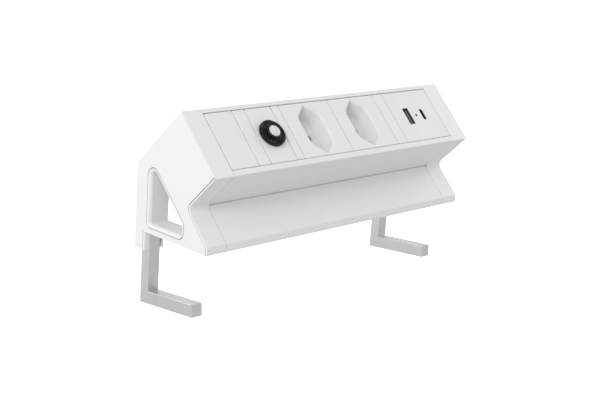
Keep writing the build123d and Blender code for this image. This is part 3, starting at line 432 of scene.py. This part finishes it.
def finish(name, colour, roughness, metallic, specular, grain, depth, variation):
    """A material with fine grain in its surface, and slow changes of gloss and tone."""
    material = bpy.data.materials.new(name)
    material.use_nodes = True
    nodes, links = material.node_tree.nodes, material.node_tree.links
    shader = nodes["Principled BSDF"]
    shader.inputs["Metallic"].default_value = metallic
    shader.inputs["Specular IOR Level"].default_value = specular
    places = nodes.new("ShaderNodeTexCoord").outputs["Object"]

    def noise(size, detail):
        texture = nodes.new("ShaderNodeTexNoise")
        texture.inputs["Scale"].default_value = 1 / size
        texture.inputs["Detail"].default_value = detail
        links.new(places, texture.inputs["Vector"])
        return texture.outputs["Fac"]

    def spread(factor, low, high):
        levels = nodes.new("ShaderNodeMapRange")
        levels.inputs["From Min"].default_value = NOISE_LOW
        levels.inputs["From Max"].default_value = NOISE_HIGH
        levels.inputs["To Min"].default_value = low
        levels.inputs["To Max"].default_value = high
        links.new(factor, levels.inputs["Value"])
        return levels.outputs["Result"]

    handling = noise(HANDLING_SIZE, 3)
    gloss = spread(handling, roughness * (1 - variation), roughness * (1 + variation))
    links.new(gloss, shader.inputs["Roughness"])

    tone = nodes.new("ShaderNodeMix")
    tone.data_type = "RGBA"
    tone.blend_type = "MULTIPLY"
    tone.inputs["A"].default_value = (*colour, 1)
    shade = nodes.new("ShaderNodeCombineColor")
    level = spread(noise(grain * TONE_SIZE, 2), DARKEST_TONE, 1.0)
    for channel in ("Red", "Green", "Blue"):
        links.new(level, shade.inputs[channel])
    tone.inputs["Factor"].default_value = 1
    links.new(shade.outputs["Color"], tone.inputs["B"])
    links.new(tone.outputs["Result"], shader.inputs["Base Color"])

    bump = nodes.new("ShaderNodeBump")
    bump.inputs["Distance"].default_value = depth
    bump.inputs["Strength"].default_value = 1.0
    links.new(noise(grain, 4), bump.inputs["Height"])
    links.new(bump.outputs["Normal"], shader.inputs["Normal"])
    return material


finishes = {name: finish(name, *values) for name, values in FINISHES.items()}
for name, node in frame["nodes"].items():
    node.data.materials.clear()
    node.data.materials.append(finishes[slot_of[name]])


# ---------------------------------------------------------------- end caps and side covers

front_edge = in_face(FACE_HEIGHT, 0)
valley = in_face(FACE_HEIGHT, UNDERCUT)
rear_edge = in_face(0, ROOF_DEPTH)
apron_fall = (LIP_Y - valley[0], LIP_HEIGHT - valley[1])
apron_length = sqrt(apron_fall[0] ** 2 + apron_fall[1] ** 2)
apron_slope = (apron_fall[0] / apron_length, apron_fall[1] / apron_length)
apron_inward = (-apron_slope[1], apron_slope[0])


def beside_apron(along, inward):
    """(y, z) of a point down the apron from the valley and inward from its surface."""
    return (
        valley[0] + along * apron_slope[0] + inward * apron_inward[0],
        valley[1] + along * apron_slope[1] + inward * apron_inward[1],
    )


def inside_lip(inward):
    """(y, z) of the corner of the lines inward of the apron's slope and of its front."""
    along = (LIP_Y + inward - valley[0] - inward * apron_inward[0]) / apron_slope[0]
    return beside_apron(along, inward)


cap_corners = [
    (TOP_Y, TOP_Z, CAP_EDGE),
    (*front_edge, CAP_EDGE),
    (*valley, VALLEY_RADIUS),
    (LIP_Y, LIP_HEIGHT, LIP_RADIUS),
    (LIP_Y, 0, LIP_FOOT_RADIUS),
    (0, 0, 0),
    (0, -SKIRT_DROP, CAP_EDGE),
    (rear_edge[0], -SKIRT_DROP, CAP_EDGE),
    (*rear_edge, CAP_REAR_ROUND),
]


def cover_corners(gap):
    """The side cover, set in from the cap's front edges and flush along the others."""
    margin = COVER_MARGIN + gap
    edge = FACE_HEIGHT - margin
    return [
        (TOP_Y, TOP_Z, CAP_EDGE),
        (*in_face(FACE_HEIGHT - COVER_MARGIN - SEAM_SHARE_AT_FACE * gap, 0), 0),
        (*in_face(edge, SEAM_START), 0),
        (*in_face(edge, UNDERCUT + margin * COVER_VALLEY_SHIFT), VALLEY_RADIUS + margin),
        (*inside_lip(margin), LIP_RADIUS),
        (LIP_Y + margin, 0, LIP_FOOT_RADIUS),
        (COVER_SKIRT_Y + gap, 0, 0),
        (COVER_SKIRT_Y + gap, -SKIRT_DROP, 0),
        (rear_edge[0], -SKIRT_DROP, CAP_EDGE),
        (*rear_edge, CAP_REAR_ROUND),
    ]


window_corners = [
    (WINDOW_REAR, WINDOW_REAR - WINDOW_SLANT, 5.5 * MM),
    (WINDOW_FRONT, WINDOW_FRONT - WINDOW_SLANT, 6.0 * MM),
    (WINDOW_FRONT, WINDOW_FLOOR, 5.0 * MM),
    (WINDOW_REAR, WINDOW_FLOOR, 3.2 * MM),
]


def window_flare(radius, inset, level, inner):
    """Rings of the window's opening, which widens over a round as it reaches that level."""
    rings = [(level + MM, rounded(window_corners, inset))]
    for step in range(FLARE_STEPS + 1):
        angle = pi / 2 * step / FLARE_STEPS
        rings.append((
            level - radius * (1 - cos(angle)),
            rounded(window_corners, inset + radius * sin(angle)),
        ))
    rings.append((inner, rounded(window_corners, inset + radius)))
    return rings


def end_cap(side):
    """The cap with its seat and seam for the cover, its window, and the bar's guide."""
    name = sided("end_cap", side)
    place = across(side)
    seat = HALF - COVER
    cap = loft(
        f"{name}_shell",
        [(CAP_INSIDE, rounded(cap_corners)), *rim(cap_corners, HALF, CAP_EDGE, -1)],
        place,
    )
    recess = prism("recess", rounded(cover_corners(0)), seat, HALF + MM, place)
    channel = prism("channel", rounded(cover_corners(0)), seat - SEAM_CHANNEL, seat + MM, place)
    island = prism("island", rounded(cover_corners(SEAM + SEAM_WIDENING)), 0, HALF, place)
    skin = [in_face(s, d) for s, d in ((0, -MM), (FACE_HEIGHT, -MM), (FACE_HEIGHT, MM), (0, MM))]
    combine(channel, "DIFFERENCE", island, prism("face_skin", skin, 0, HALF, place))
    combine(cap, "DIFFERENCE", recess, channel)
    collar = prism("collar", rounded(window_corners), seat - MM, HALF, place)
    combine(cap, "UNION", collar)
    inset = 0.1 * MM
    flare_rings = window_flare(WINDOW_ROUND - inset, inset, HALF, CAP_INSIDE - MM)
    flare = loft("flare", flare_rings, place)
    guide = rectangle(BAR_FRONT_Y - GUIDE_GAP, BAR_BACK_Y + GUIDE_GAP, -SKIRT_DROP - MM, SHOULDER)
    mouth = rectangle(-MM, BAR_BACK_Y + GUIDE_GAP, -SKIRT_DROP - MM, 0)
    guide_sides = (BAR_SIDE - GUIDE_GAP, BAR_SIDE + BAR_WIDTH + GUIDE_GAP)
    combine(
        cap,
        "DIFFERENCE",
        flare,
        prism("guide", rounded(guide), *guide_sides, place),
        prism("mouth", rounded(mouth), *guide_sides, place),
    )
    key_hole = circle(*screw_axis(side), KEY_HOLE_RADIUS)
    shank_hole = circle(*screw_axis(side), SHANK_HOLE_RADIUS)
    combine(
        cap,
        "DIFFERENCE",
        prism("key_hole", key_hole, SHOULDER + SHOULDER_THICKNESS, TOP_Z, upright),
        prism("shank_hole", shank_hole, SHOULDER - MM, TOP_Z / 2, upright),
    )

    def share(middle):
        at_seat = abs(abs(middle.x) - seat) < HAIR
        return 0.0 if at_seat else 1.0

    edge_round = 0.22 * MM
    soften(cap, edge_round, share=share)
    stand_for(cap, name)


def side_cover(side):
    """The flat cover in the cap's seat, its hole a seam's width larger than the window."""
    name = sided("side_cover", side)
    place = across(side)
    seat = HALF - COVER
    edge_round, hole_round = 0.3 * MM, 0.25 * MM
    corners = cover_corners(SEAM)
    rings = [(seat, rounded(corners)), *rim(corners, HALF, edge_round, -1)]
    cover = loft(f"{name}_plate", rings, place)
    hole = loft("hole", window_flare(hole_round, -SEAM - hole_round, HALF, seat - MM), place)
    combine(cover, "DIFFERENCE", hole)
    stand_for(cover, name)


for side in (-1, 1):
    end_cap(side)
    side_cover(side)


# ---------------------------------------------------------------- extrusions


def main_profile():
    """The socket box, the lips round its mouth, the apron's rail and the roof."""
    back = BOX_BACK - WALL
    inner_bottom = FACE_HEIGHT - WALL
    roof_setback, roof_foot = 0.9 * MM, 6.5 * MM
    roof_end = ROOF_DEPTH - roof_setback
    rail_out = FACE_HEIGHT + CLIP_OUT
    # s, d, and the corner's radius in millimetres
    section = [
        (0, 0, 0.4),
        (TOP_LIP, 0, 0.2),
        (TOP_LIP, LIP_BACK, 0.2),
        (WALL, LIP_BACK, 0.3),
        (WALL, back, 0.5),
        (inner_bottom, back, 0.5),
        (inner_bottom, LIP_BACK, 0.3),
        (BOTTOM_LIP, LIP_BACK, 0.2),
        (BOTTOM_LIP, 0, 0.2),
        (FACE_HEIGHT, 0, 0.4),
        (FACE_HEIGHT, RAIL_FRONT, 0.3),
        (rail_out, RAIL_FRONT, 0.3),
        (rail_out, RAIL_BACK, 0.3),
        (FACE_HEIGHT, RAIL_BACK, 0.3),
        (FACE_HEIGHT, BOX_BACK, 1.0),
        (WALL, BOX_BACK, 0.5),
        (WALL, roof_end - WALL, 0.4),
        (roof_foot, roof_end - WALL, 0.3),
        (roof_foot, roof_end, 0.5),
        (0, roof_end, 1.0),
    ]
    corners = [(*in_face(s, d), radius * MM) for s, d, radius in section]
    outline = rounded(corners)
    profile = prism("main_profile_extrusion", outline, -EXTRUSION_END, EXTRUSION_END, across(1))
    low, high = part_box("mains_inlet_body")
    bottom, top = CENTRE - INLET_HALF_HEIGHT, CENTRE + INLET_HALF_HEIGHT
    hole = rectangle(low.x + INLET_RIM, high.x - INLET_RIM, bottom, top)
    reach = 3 * MM
    inlet = prism("inlet_hole", rounded(hole), BOX_BACK - reach, BOX_BACK + reach, on_face)
    combine(profile, "DIFFERENCE", inlet)
    soften(profile, EXTRUSION_EDGE)
    stand_for(profile, "main_profile")


def front_apron():
    """The sloping shelf, its upright front, its foot, and the clip that holds it to the box."""
    clip_gap = 0.1 * MM
    clip_inside = FACE_HEIGHT + clip_gap
    clip_outside = FACE_HEIGHT + CLIP_OUT
    slope_start, clip_start = 0.35 * MM, 1.5 * MM
    foot_round, inner_round = 0.8 * MM, 0.4 * MM
    corners = [
        (*beside_apron(slope_start, 0), 0.3 * MM),
        (LIP_Y, LIP_HEIGHT, LIP_RADIUS),
        (LIP_Y, 0, LIP_FOOT_RADIUS),
        (APRON_REAR_Y, 0, foot_round),
        (APRON_REAR_Y, APRON_THICKNESS, foot_round),
        (LIP_Y + APRON_THICKNESS, APRON_THICKNESS, inner_round),
        (*inside_lip(APRON_THICKNESS), inner_round),
        (*beside_apron(clip_start, APRON_THICKNESS), 0),
        (*in_face(clip_outside, CLIP_BACK), 0),
        (*in_face(clip_inside, CLIP_BACK), 0),
        (*in_face(clip_inside, CLIP_FRONT), 0),
    ]
    outline = rounded(corners)
    apron = prism("front_apron_extrusion", outline, -EXTRUSION_END, EXTRUSION_END, across(1))
    soften(apron, EXTRUSION_EDGE)
    stand_for(apron, "front_apron")


main_profile()
front_apron()


# ---------------------------------------------------------------- clamp


def clamp_arm(side):
    """The L-shaped bar: an upright leg, and an arm that rises a little to its tip."""
    name = sided("clamp_arm", side)
    along = Vector((-cos(ARM_TILT), sin(ARM_TILT)))
    up = Vector((along.y, -along.x))
    corner = Vector((BAR_BACK_Y, BAR_BOTTOM))
    tip = corner + along * ARM_LENGTH
    tip_top = tip + up * ARM_HEIGHT
    inside = tip_top - along * ((tip_top.x - BAR_FRONT_Y) / along.x)
    corners = [
        (BAR_BACK_Y, BAR_TOP, 0),
        (*corner, 0),
        (*tip, 0),
        (*tip_top, 0),
        (*inside, 0),
        (BAR_FRONT_Y, BAR_TOP, 0),
    ]
    bar = prism(f"{name}_bar", rounded(corners), BAR_SIDE, BAR_SIDE + BAR_WIDTH, across(side))
    bore = circle(*screw_axis(side), BAR_THREAD_RADIUS)
    thread = prism("thread", bore, BAR_THREAD_BOTTOM, BAR_TOP + MM, upright)
    combine(bar, "DIFFERENCE", thread)
    edge_round = 0.3 * MM
    soften(bar, edge_round)
    stand_for(bar, name)


def thread_outline(x, y, level, radius):
    """The thread's section at a height, its groove one pitch further on each turn."""
    points = []
    for i in range(SCREW_POINTS):
        around = i / SCREW_POINTS
        groove = abs((level / THREAD_PITCH - around) % 1 - 0.5) * 2
        reach = radius - THREAD_DEPTH * groove
        points.append((x + reach * cos(2 * pi * around), y + reach * sin(2 * pi * around)))
    return points


def key_outline(x, y):
    """The hexagon of the key socket, with as many points as the screw's other sections."""
    points = []
    for i in range(SCREW_POINTS):
        angle = 2 * pi * i / SCREW_POINTS
        from_flat = (angle + pi / 6) % (pi / 3) - pi / 6
        reach = HEX_KEY / 2 / cos(from_flat)
        points.append((x + reach * cos(angle), y + reach * sin(angle)))
    return points


def clamp_screw(side):
    """A socket-head screw, threaded all the way, with a knurled head."""
    name = sided("clamp_screw", side)
    low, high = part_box(name)
    x, y = (low.x + high.x) / 2, (low.y + high.y) / 2
    under_head, top, chamfer = high.z - SCREW_HEAD, high.z, 0.5 * MM
    knurl_depth, knurl_steps = 0.15 * MM, 4
    rings = []
    steps = round((under_head - low.z) / THREAD_PITCH) * THREAD_STEPS
    for step in range(steps):
        level = low.z + (under_head - low.z) * step / steps
        radius = min(SCREW_RADIUS, SCREW_RADIUS - chamfer + (level - low.z))
        rings.append((level, thread_outline(x, y, level, radius)))
    teeth = SCREW_POINTS // knurl_steps
    knurled = toothed(x, y, SCREW_HEAD_RADIUS, knurl_depth, teeth, knurl_steps)
    rings += [
        (under_head, circle(x, y, SCREW_RADIUS, SCREW_POINTS)),
        (under_head, circle(x, y, SCREW_HEAD_RADIUS - 0.2 * MM, SCREW_POINTS)),
        (under_head + 0.3 * MM, knurled),
        (top - 0.8 * MM, knurled),
        (top - 0.6 * MM, circle(x, y, SCREW_HEAD_RADIUS - 0.1 * MM, SCREW_POINTS)),
        (top - 0.1 * MM, circle(x, y, SCREW_HEAD_RADIUS - 0.4 * MM, SCREW_POINTS)),
        (top, circle(x, y, SCREW_HEAD_RADIUS - 0.7 * MM, SCREW_POINTS)),
        (top, circle(x, y, HEX_KEY / 2 + 0.4 * MM, SCREW_POINTS)),
        (top - 0.3 * MM, key_outline(x, y)),
        (top - HEX_DEPTH, key_outline(x, y)),
    ]
    stand_for(loft(f"{name}_threaded", rings, upright), name)


def clamp_washers():
    low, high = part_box("clamp_washers")
    y = (low.y + high.y) / 2
    bevel, inside = 0.1 * MM, 2.65 * MM
    outside = high.x - screw_axis(1)[0]
    sections = [
        (low.z, inside),
        (low.z, outside - bevel),
        (low.z + bevel, outside),
        (high.z - bevel, outside),
        (high.z, outside - bevel),
        (high.z, inside),
    ]
    pair = []
    for side in (-1, 1):
        x = screw_axis(side)[0]
        rings = [(level, circle(x, y, radius)) for level, radius in sections]
        pair.append(loft("clamp_washer_pair", rings, upright, ring_shaped=True))
    combine(pair[0], "UNION", pair[1])
    stand_for(pair[0], "clamp_washers")


for side in (-1, 1):
    clamp_arm(side)
    clamp_screw(side)
clamp_washers()


# ---------------------------------------------------------------- modules in the socket face


def plate_blank(node):
    """A module plate: its front fills the opening, its flange bears behind the lips."""
    low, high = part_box(node)
    front_back, flange_gap = LIP_BACK + MM, 0.1 * MM
    left = low.x + PLATE_SIDE_GAP
    right = high.x - (0 if node == "usb_face_plate" else PLATE_SIDE_GAP)
    front = rectangle(left, right, PLATE_TOP, PLATE_BOTTOM, PLATE_CORNER)
    plate = loft(
        f"{node}_moulding",
        [*reversed(rim(front, PLATE_FRONT, PLATE_EDGE, 1)), (front_back, rounded(front))],
        on_face,
    )
    flange = rectangle(left, right, FLANGE_TOP, FLANGE_BOTTOM)
    flange_front = LIP_BACK + flange_gap
    combine(plate, "UNION", prism("flange", rounded(flange), flange_front, FLANGE_BACK, on_face))
    return plate


def plain_plate(node):
    """A plate without a module, held by two legs."""
    plate = plate_blank(node)
    middle = middle_of(node)
    half_width, thickness, leg_back = 2.5 * MM, 1.5 * MM, 12 * MM
    for s in (FLANGE_TOP, FLANGE_BOTTOM - thickness):
        leg = rectangle(middle - half_width, middle + half_width, s, s + thickness)
        combine(plate, "UNION", prism("leg", rounded(leg), FLANGE_BACK - MM, leg_back, on_face))
    stand_for(plate, node)


for node in ("blank_plate", "spacer_1", "spacer_2", "spacer_3"):
    plain_plate(node)


# ---------------------------------------------------------------- sockets


def hexagon(x):
    """The socket recess's outline, its points up and down the slope."""
    wide, side, tall = RECESS_HALF_WIDTH, RECESS_HALF_SIDE, RECESS_HALF_LENGTH
    side_round, tip_round = 7.0 * MM, 1.0 * MM
    return [
        (x + wide, CENTRE + side, side_round),
        (x, CENTRE + tall, tip_round),
        (x - wide, CENTRE + side, side_round),
        (x - wide, CENTRE - side, side_round),
        (x, CENTRE - tall, tip_round),
        (x + wide, CENTRE - side, side_round),
    ]


def recess_rings(x):
    """Rings of the recess: a rounded mouth, drafted walls and a rounded floor."""
    outline = hexagon(x)
    rings = [(PLATE_FRONT - MM, rounded(outline, -RECESS_ROUND))]
    mouth_steps, floor_steps = 8, 4
    for step in range(mouth_steps + 1):
        angle = pi / 2 * step / mouth_steps
        depth = RECESS_ROUND * (1 - cos(angle))
        rings.append((PLATE_FRONT + depth, rounded(outline, -RECESS_ROUND * (1 - sin(angle)))))
    wall = (RECESS_DEPTH - RECESS_ROUND) * tan(RECESS_DRAFT)
    for step in range(floor_steps + 1):
        angle = pi / 2 * step / floor_steps
        depth = RECESS_DEPTH - RECESS_FLOOR_ROUND * (1 - sin(angle))
        inset = wall + RECESS_FLOOR_ROUND * (1 - cos(angle))
        rings.append((PLATE_FRONT + depth, rounded(outline, inset)))
    return rings


def pin_places(x):
    """(x, s) of the line, neutral and earth pins."""
    return [
        (x - PIN_OFFSET, CENTRE - PIN_SPACING / 2),
        (x - PIN_OFFSET, CENTRE + PIN_SPACING / 2),
        (x + PIN_OFFSET, CENTRE),
    ]


def socket_face(node):
    """A plate with the three-pin recess, the cup behind it and the pin holes."""
    x = middle_of(node)
    plate = plate_blank(node)
    floor = PLATE_FRONT + RECESS_DEPTH
    shrink = (floor + CUP_WALL - FLANGE_BACK) * tan(RECESS_DRAFT)
    cup = loft(
        "cup",
        [
            (LIP_BACK + MM, rounded(hexagon(x), -CUP_WALL)),
            (floor + CUP_WALL, rounded(hexagon(x), shrink - CUP_WALL)),
        ],
        on_face,
    )
    combine(plate, "UNION", cup)
    combine(plate, "DIFFERENCE", loft("recess", recess_rings(x), on_face))
    for pin_x, pin_s in pin_places(x):
        hole = loft(
            "pin_hole",
            [
                (floor - MM, circle(pin_x, pin_s, PIN_HOLE + PIN_HOLE_FLARE)),
                (floor, circle(pin_x, pin_s, PIN_HOLE + PIN_HOLE_FLARE)),
                (floor + PIN_HOLE_FLARE, circle(pin_x, pin_s, PIN_HOLE)),
                (floor + CUP_WALL + MM, circle(pin_x, pin_s, PIN_HOLE)),
            ],
            on_face,
        )
        combine(plate, "DIFFERENCE", hole)
    stand_for(plate, node)


for node in ("socket_face_1", "socket_face_2"):
    socket_face(node)


# ---------------------------------------------------------------- breaker


def breaker_plate():
    x = middle_of("breaker_nut")
    plate = plate_blank("breaker_plate")
    outline = circle(x, CENTRE, NECK_RADIUS + 0.1 * MM)
    hole = prism("neck_hole", outline, -MM, FLANGE_BACK + 2 * MM, on_face)
    combine(plate, "DIFFERENCE", hole)
    stand_for(plate, "breaker_plate")


def breaker_nut():
    """A round nut with a toothed rim, whose teeth run out over the bevel of its front."""
    x = middle_of("breaker_nut")
    back = PLATE_FRONT - 0.05 * MM
    bore = NECK_RADIUS + 0.05 * MM
    front = -NUT_FRONT
    # depth, radius, and how deep the teeth cut in there
    sections = [
        (back, bore, 0),
        (back, NUT_RADIUS - 0.4 * MM, 0),
        (back - 0.4 * MM, NUT_RADIUS, NUT_TOOTH),
        (front + 0.9 * MM, NUT_RADIUS, NUT_TOOTH),
        (front + 0.5 * MM, NUT_RADIUS - 0.15 * MM, NUT_TOOTH * 1.3),
        (front, NUT_RADIUS - 0.6 * MM, NUT_TOOTH * 2.0),
        (front + 0.6 * MM, NUT_RADIUS - 1.3 * MM, NUT_TOOTH * 2.4),
        (front, NUT_RADIUS - 2.1 * MM, NUT_TOOTH * 1.6),
        (front + 0.4 * MM, NUT_RADIUS - 3.3 * MM, 0),
        (front + 0.35 * MM, bore + 0.3 * MM, 0),
        (front + 0.6 * MM, bore, 0),
    ]
    rings = [
        (depth, toothed(x, CENTRE, radius, bite, NUT_TEETH)) for depth, radius, bite in sections
    ]
    nut = loft("breaker_nut_knurled", rings, on_face, ring_shaped=True)
    stand_for(nut, "breaker_nut")


def breaker_button():
    """The domed cap, its stem and the collar that keeps it in the neck."""
    x = middle_of("breaker_nut")
    dome, flat_radius = 1.3 * MM, 0.4 * MM
    fullness = 0.8  # below 1, so that the dome turns down more sharply at its rim
    steps = 8
    rings = [(-BUTTON_FRONT, circle(x, CENTRE, flat_radius))]
    for step in range(1, steps + 1):
        angle = pi / 2 * step / steps
        depth = -BUTTON_FRONT + dome * (1 - cos(angle))
        rings.append((depth, circle(x, CENTRE, BUTTON_RADIUS * sin(angle) ** fullness)))
    stem, collar = 1.5 * MM, 4.4 * MM
    cap_back, collar_front, collar_back, stem_back = 8.0 * MM, 12.6 * MM, 14.0 * MM, 15.0 * MM
    for depth, radius in (
        (cap_back, BUTTON_RADIUS),
        (cap_back, stem),
        (collar_front, stem),
        (collar_front, collar),
        (collar_back, collar),
        (collar_back, stem),
        (stem_back, stem),
    ):
        rings.append((depth, circle(x, CENTRE, radius)))
    stand_for(loft("breaker_button_dome", rings, on_face), "breaker_button")


breaker_plate()
breaker_nut()
breaker_button()


# ---------------------------------------------------------------- USB charger


def slot_corners(x, width, height, grow):
    """An upright slot with fully rounded ends."""
    u, v = width / 2 + grow, height / 2 + grow
    return rectangle(x - u, x + u, CENTRE - v, CENTRE + v, u - HAIR)


def port_corners(x, grow):
    """The USB-A port's oblong opening."""
    u, v = USB_A_WIDTH / 2 + grow, USB_A_HEIGHT / 2 + grow
    return rectangle(x - u, x + u, CENTRE - v, CENTRE + v, 0.3 * MM)


def flared_hole(corners, flare):
    """Rings of a hole through a plate with a small bevel at its mouth."""
    return [
        (PLATE_FRONT - MM, rounded(corners, -flare)),
        (PLATE_FRONT, rounded(corners, -flare)),
        (PLATE_FRONT + flare, rounded(corners)),
        (FLANGE_BACK + MM, rounded(corners)),
    ]


def usb_face_plate():
    plate = plate_blank("usb_face_plate")
    a_x, c_x = middle_of("usb_a_shell"), middle_of("usb_c_shell")
    light_x, light_width = middle_of("usb_light_guide"), 2 * LIGHT_RADIUS
    port_flare, light_flare = 0.2 * MM, 0.1 * MM
    for corners, flare in (
        (port_corners(a_x, PORT_GAP), port_flare),
        (slot_corners(c_x, USB_C_WIDTH, USB_C_HEIGHT, PORT_GAP), port_flare),
        (slot_corners(light_x, light_width, light_width, LIGHT_GAP), light_flare),
    ):
        combine(plate, "DIFFERENCE", loft("hole", flared_hole(corners, flare), on_face))
    stand_for(plate, "usb_face_plate")


def port_tongue(node, corner):
    """A moulded tongue with a rounded front edge, as the CAD node lies."""
    low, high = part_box(node)
    half_height = PORT_REACH[node]
    corners = rectangle(low.x, high.x, CENTRE - half_height, CENTRE + half_height, corner)
    front_rings = reversed(rim(corners, TONGUE_FRONT[node], corner, 1))
    rings = [*front_rings, (TONGUE_BACK, rounded(corners))]
    tongue = loft(f"{node}_moulding", rings, on_face)
    stand_for(tongue, node)


def port_contacts(node, count, pitch, width, stand_out):
    """Plated contact strips along the tongue's left face and round its front edge."""
    low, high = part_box(node)
    front = TONGUE_FRONT[node] - CONTACT_WRAP
    edge_inset, edge_round = 0.1 * MM, 0.03 * MM
    strips = []
    for i in range(count):
        s = CENTRE + (i - (count - 1) / 2) * pitch
        left, right = low.x - stand_out, high.x - edge_inset
        strip = rounded(rectangle(left, right, s - width / 2, s + width / 2))
        strips.append(prism(f"{node}_contacts", strip, front, CONTACT_BACK, on_face))
    contacts = strips[0]
    combine(contacts, "UNION", *strips[1:])
    soften(contacts, edge_round, segments=1)
    # the contacts get port_steel, whose dark base colour is painted shade of the port's inside
    contacts.data.materials.append(finishes["port_steel"])
    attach(contacts, body_of[node])


usb_face_plate()
port_tongue("usb_a_tongue", corner=0.25 * MM)
port_tongue("usb_c_tongue", corner=0.15 * MM)
port_contacts("usb_a_tongue", count=9, pitch=1.15 * MM, width=0.5 * MM, stand_out=0.15 * MM)
port_contacts("usb_c_tongue", count=8, pitch=0.7 * MM, width=0.35 * MM, stand_out=0.04 * MM)


# ---------------------------------------------------------------- floor, light and camera

FLOOR_SIZE = 40.0  # from the middle to each side
FLOOR_GLOW = 0.75
SKY = 0.70
LIGHT_TARGET = (0, 0, 0.02)
# name, place, size, power
SOFTBOXES = [
    ("left_front", (-1.2, -0.45, 0.7), 0.6, 7.5),
    ("left_rear", (-0.85, 0.8, 0.06), 0.4, 2.1),
    ("near_right", (0.6, -0.1, 0.3), 0.4, 0.8),
    ("right_rear", (0.8, 0.9, 0.8), 1.0, 1.4),
]

CAMERA_PLACE = (-0.56767, -0.56686, 0.22090)
CAMERA_AZIMUTH, CAMERA_ELEVATION, CAMERA_ROLL = radians(-45.92), radians(15.07), radians(4.16)
CAMERA_LENS, CAMERA_SENSOR = 71.41, 36.0  # in millimetres


def stage_floor():
    """A wide pale floor, a millimetre below the bars at their lowest."""
    size, level = FLOOR_SIZE, cad_bounds[0][2] - BAR_DROP - MM
    mesh = bmesh.new()
    corners = [(-size, -size), (size, -size), (size, size), (-size, size)]
    mesh.faces.new([mesh.verts.new((x, y, level)) for x, y in corners])
    floor = as_piece(mesh, "floor")
    material = bpy.data.materials.new("pale_floor")
    material.use_nodes = True
    shader = material.node_tree.nodes["Principled BSDF"]
    shader.inputs["Base Color"].default_value = (0.9, 0.9, 0.9, 1)
    shader.inputs["Roughness"].default_value = 0.9
    shader.inputs["Specular IOR Level"].default_value = 0.0
    shader.inputs["Emission Color"].default_value = (1, 1, 1, 1)
    shader.inputs["Emission Strength"].default_value = FLOOR_GLOW
    floor.data.materials.append(material)
    floor.visible_diffuse = False
    floor.visible_glossy = False


def area_light(name, place, target, size, power):
    light = bpy.data.lights.new(name, "AREA")
    light.shape = "SQUARE"
    light.size = size
    light.energy = power
    lamp = bpy.data.objects.new(name, light)
    lamp.location = place
    lamp.rotation_euler = (Vector(target) - Vector(place)).to_track_quat("-Z", "Y").to_euler()
    bpy.context.scene.collection.objects.link(lamp)


def camera():
    """To the left of the object, in front of it and above it, and rolled a little."""
    azimuth, elevation, roll = CAMERA_AZIMUTH, CAMERA_ELEVATION, CAMERA_ROLL
    forward = Vector((
        -sin(azimuth) * cos(elevation), cos(azimuth) * cos(elevation), -sin(elevation)
    ))
    level_right = Vector((cos(azimuth), sin(azimuth), 0))
    level_up = level_right.cross(forward)
    right = cos(roll) * level_right + sin(roll) * level_up
    up = -sin(roll) * level_right + cos(roll) * level_up
    lens = bpy.data.cameras.new("camera")
    lens.sensor_width = CAMERA_SENSOR
    lens.lens = CAMERA_LENS
    lens.clip_start = 0.01
    view = bpy.data.objects.new("camera", lens)
    turned = Matrix((right, up, -forward)).transposed().to_4x4()
    view.matrix_world = Matrix.Translation(CAMERA_PLACE) @ turned
    bpy.context.scene.collection.objects.link(view)
    bpy.context.scene.camera = view


def studio_world():
    world = bpy.data.worlds.new("studio")
    world.use_nodes = True
    background = world.node_tree.nodes["Background"]
    background.inputs["Color"].default_value = (1, 1, 1, 1)
    background.inputs["Strength"].default_value = SKY
    bpy.context.scene.world = world
    bpy.context.scene.view_settings.view_transform = "Standard"


stage_floor()
for name, place, size, power in SOFTBOXES:
    area_light(name, place, LIGHT_TARGET, size, power)
camera()
studio_world()
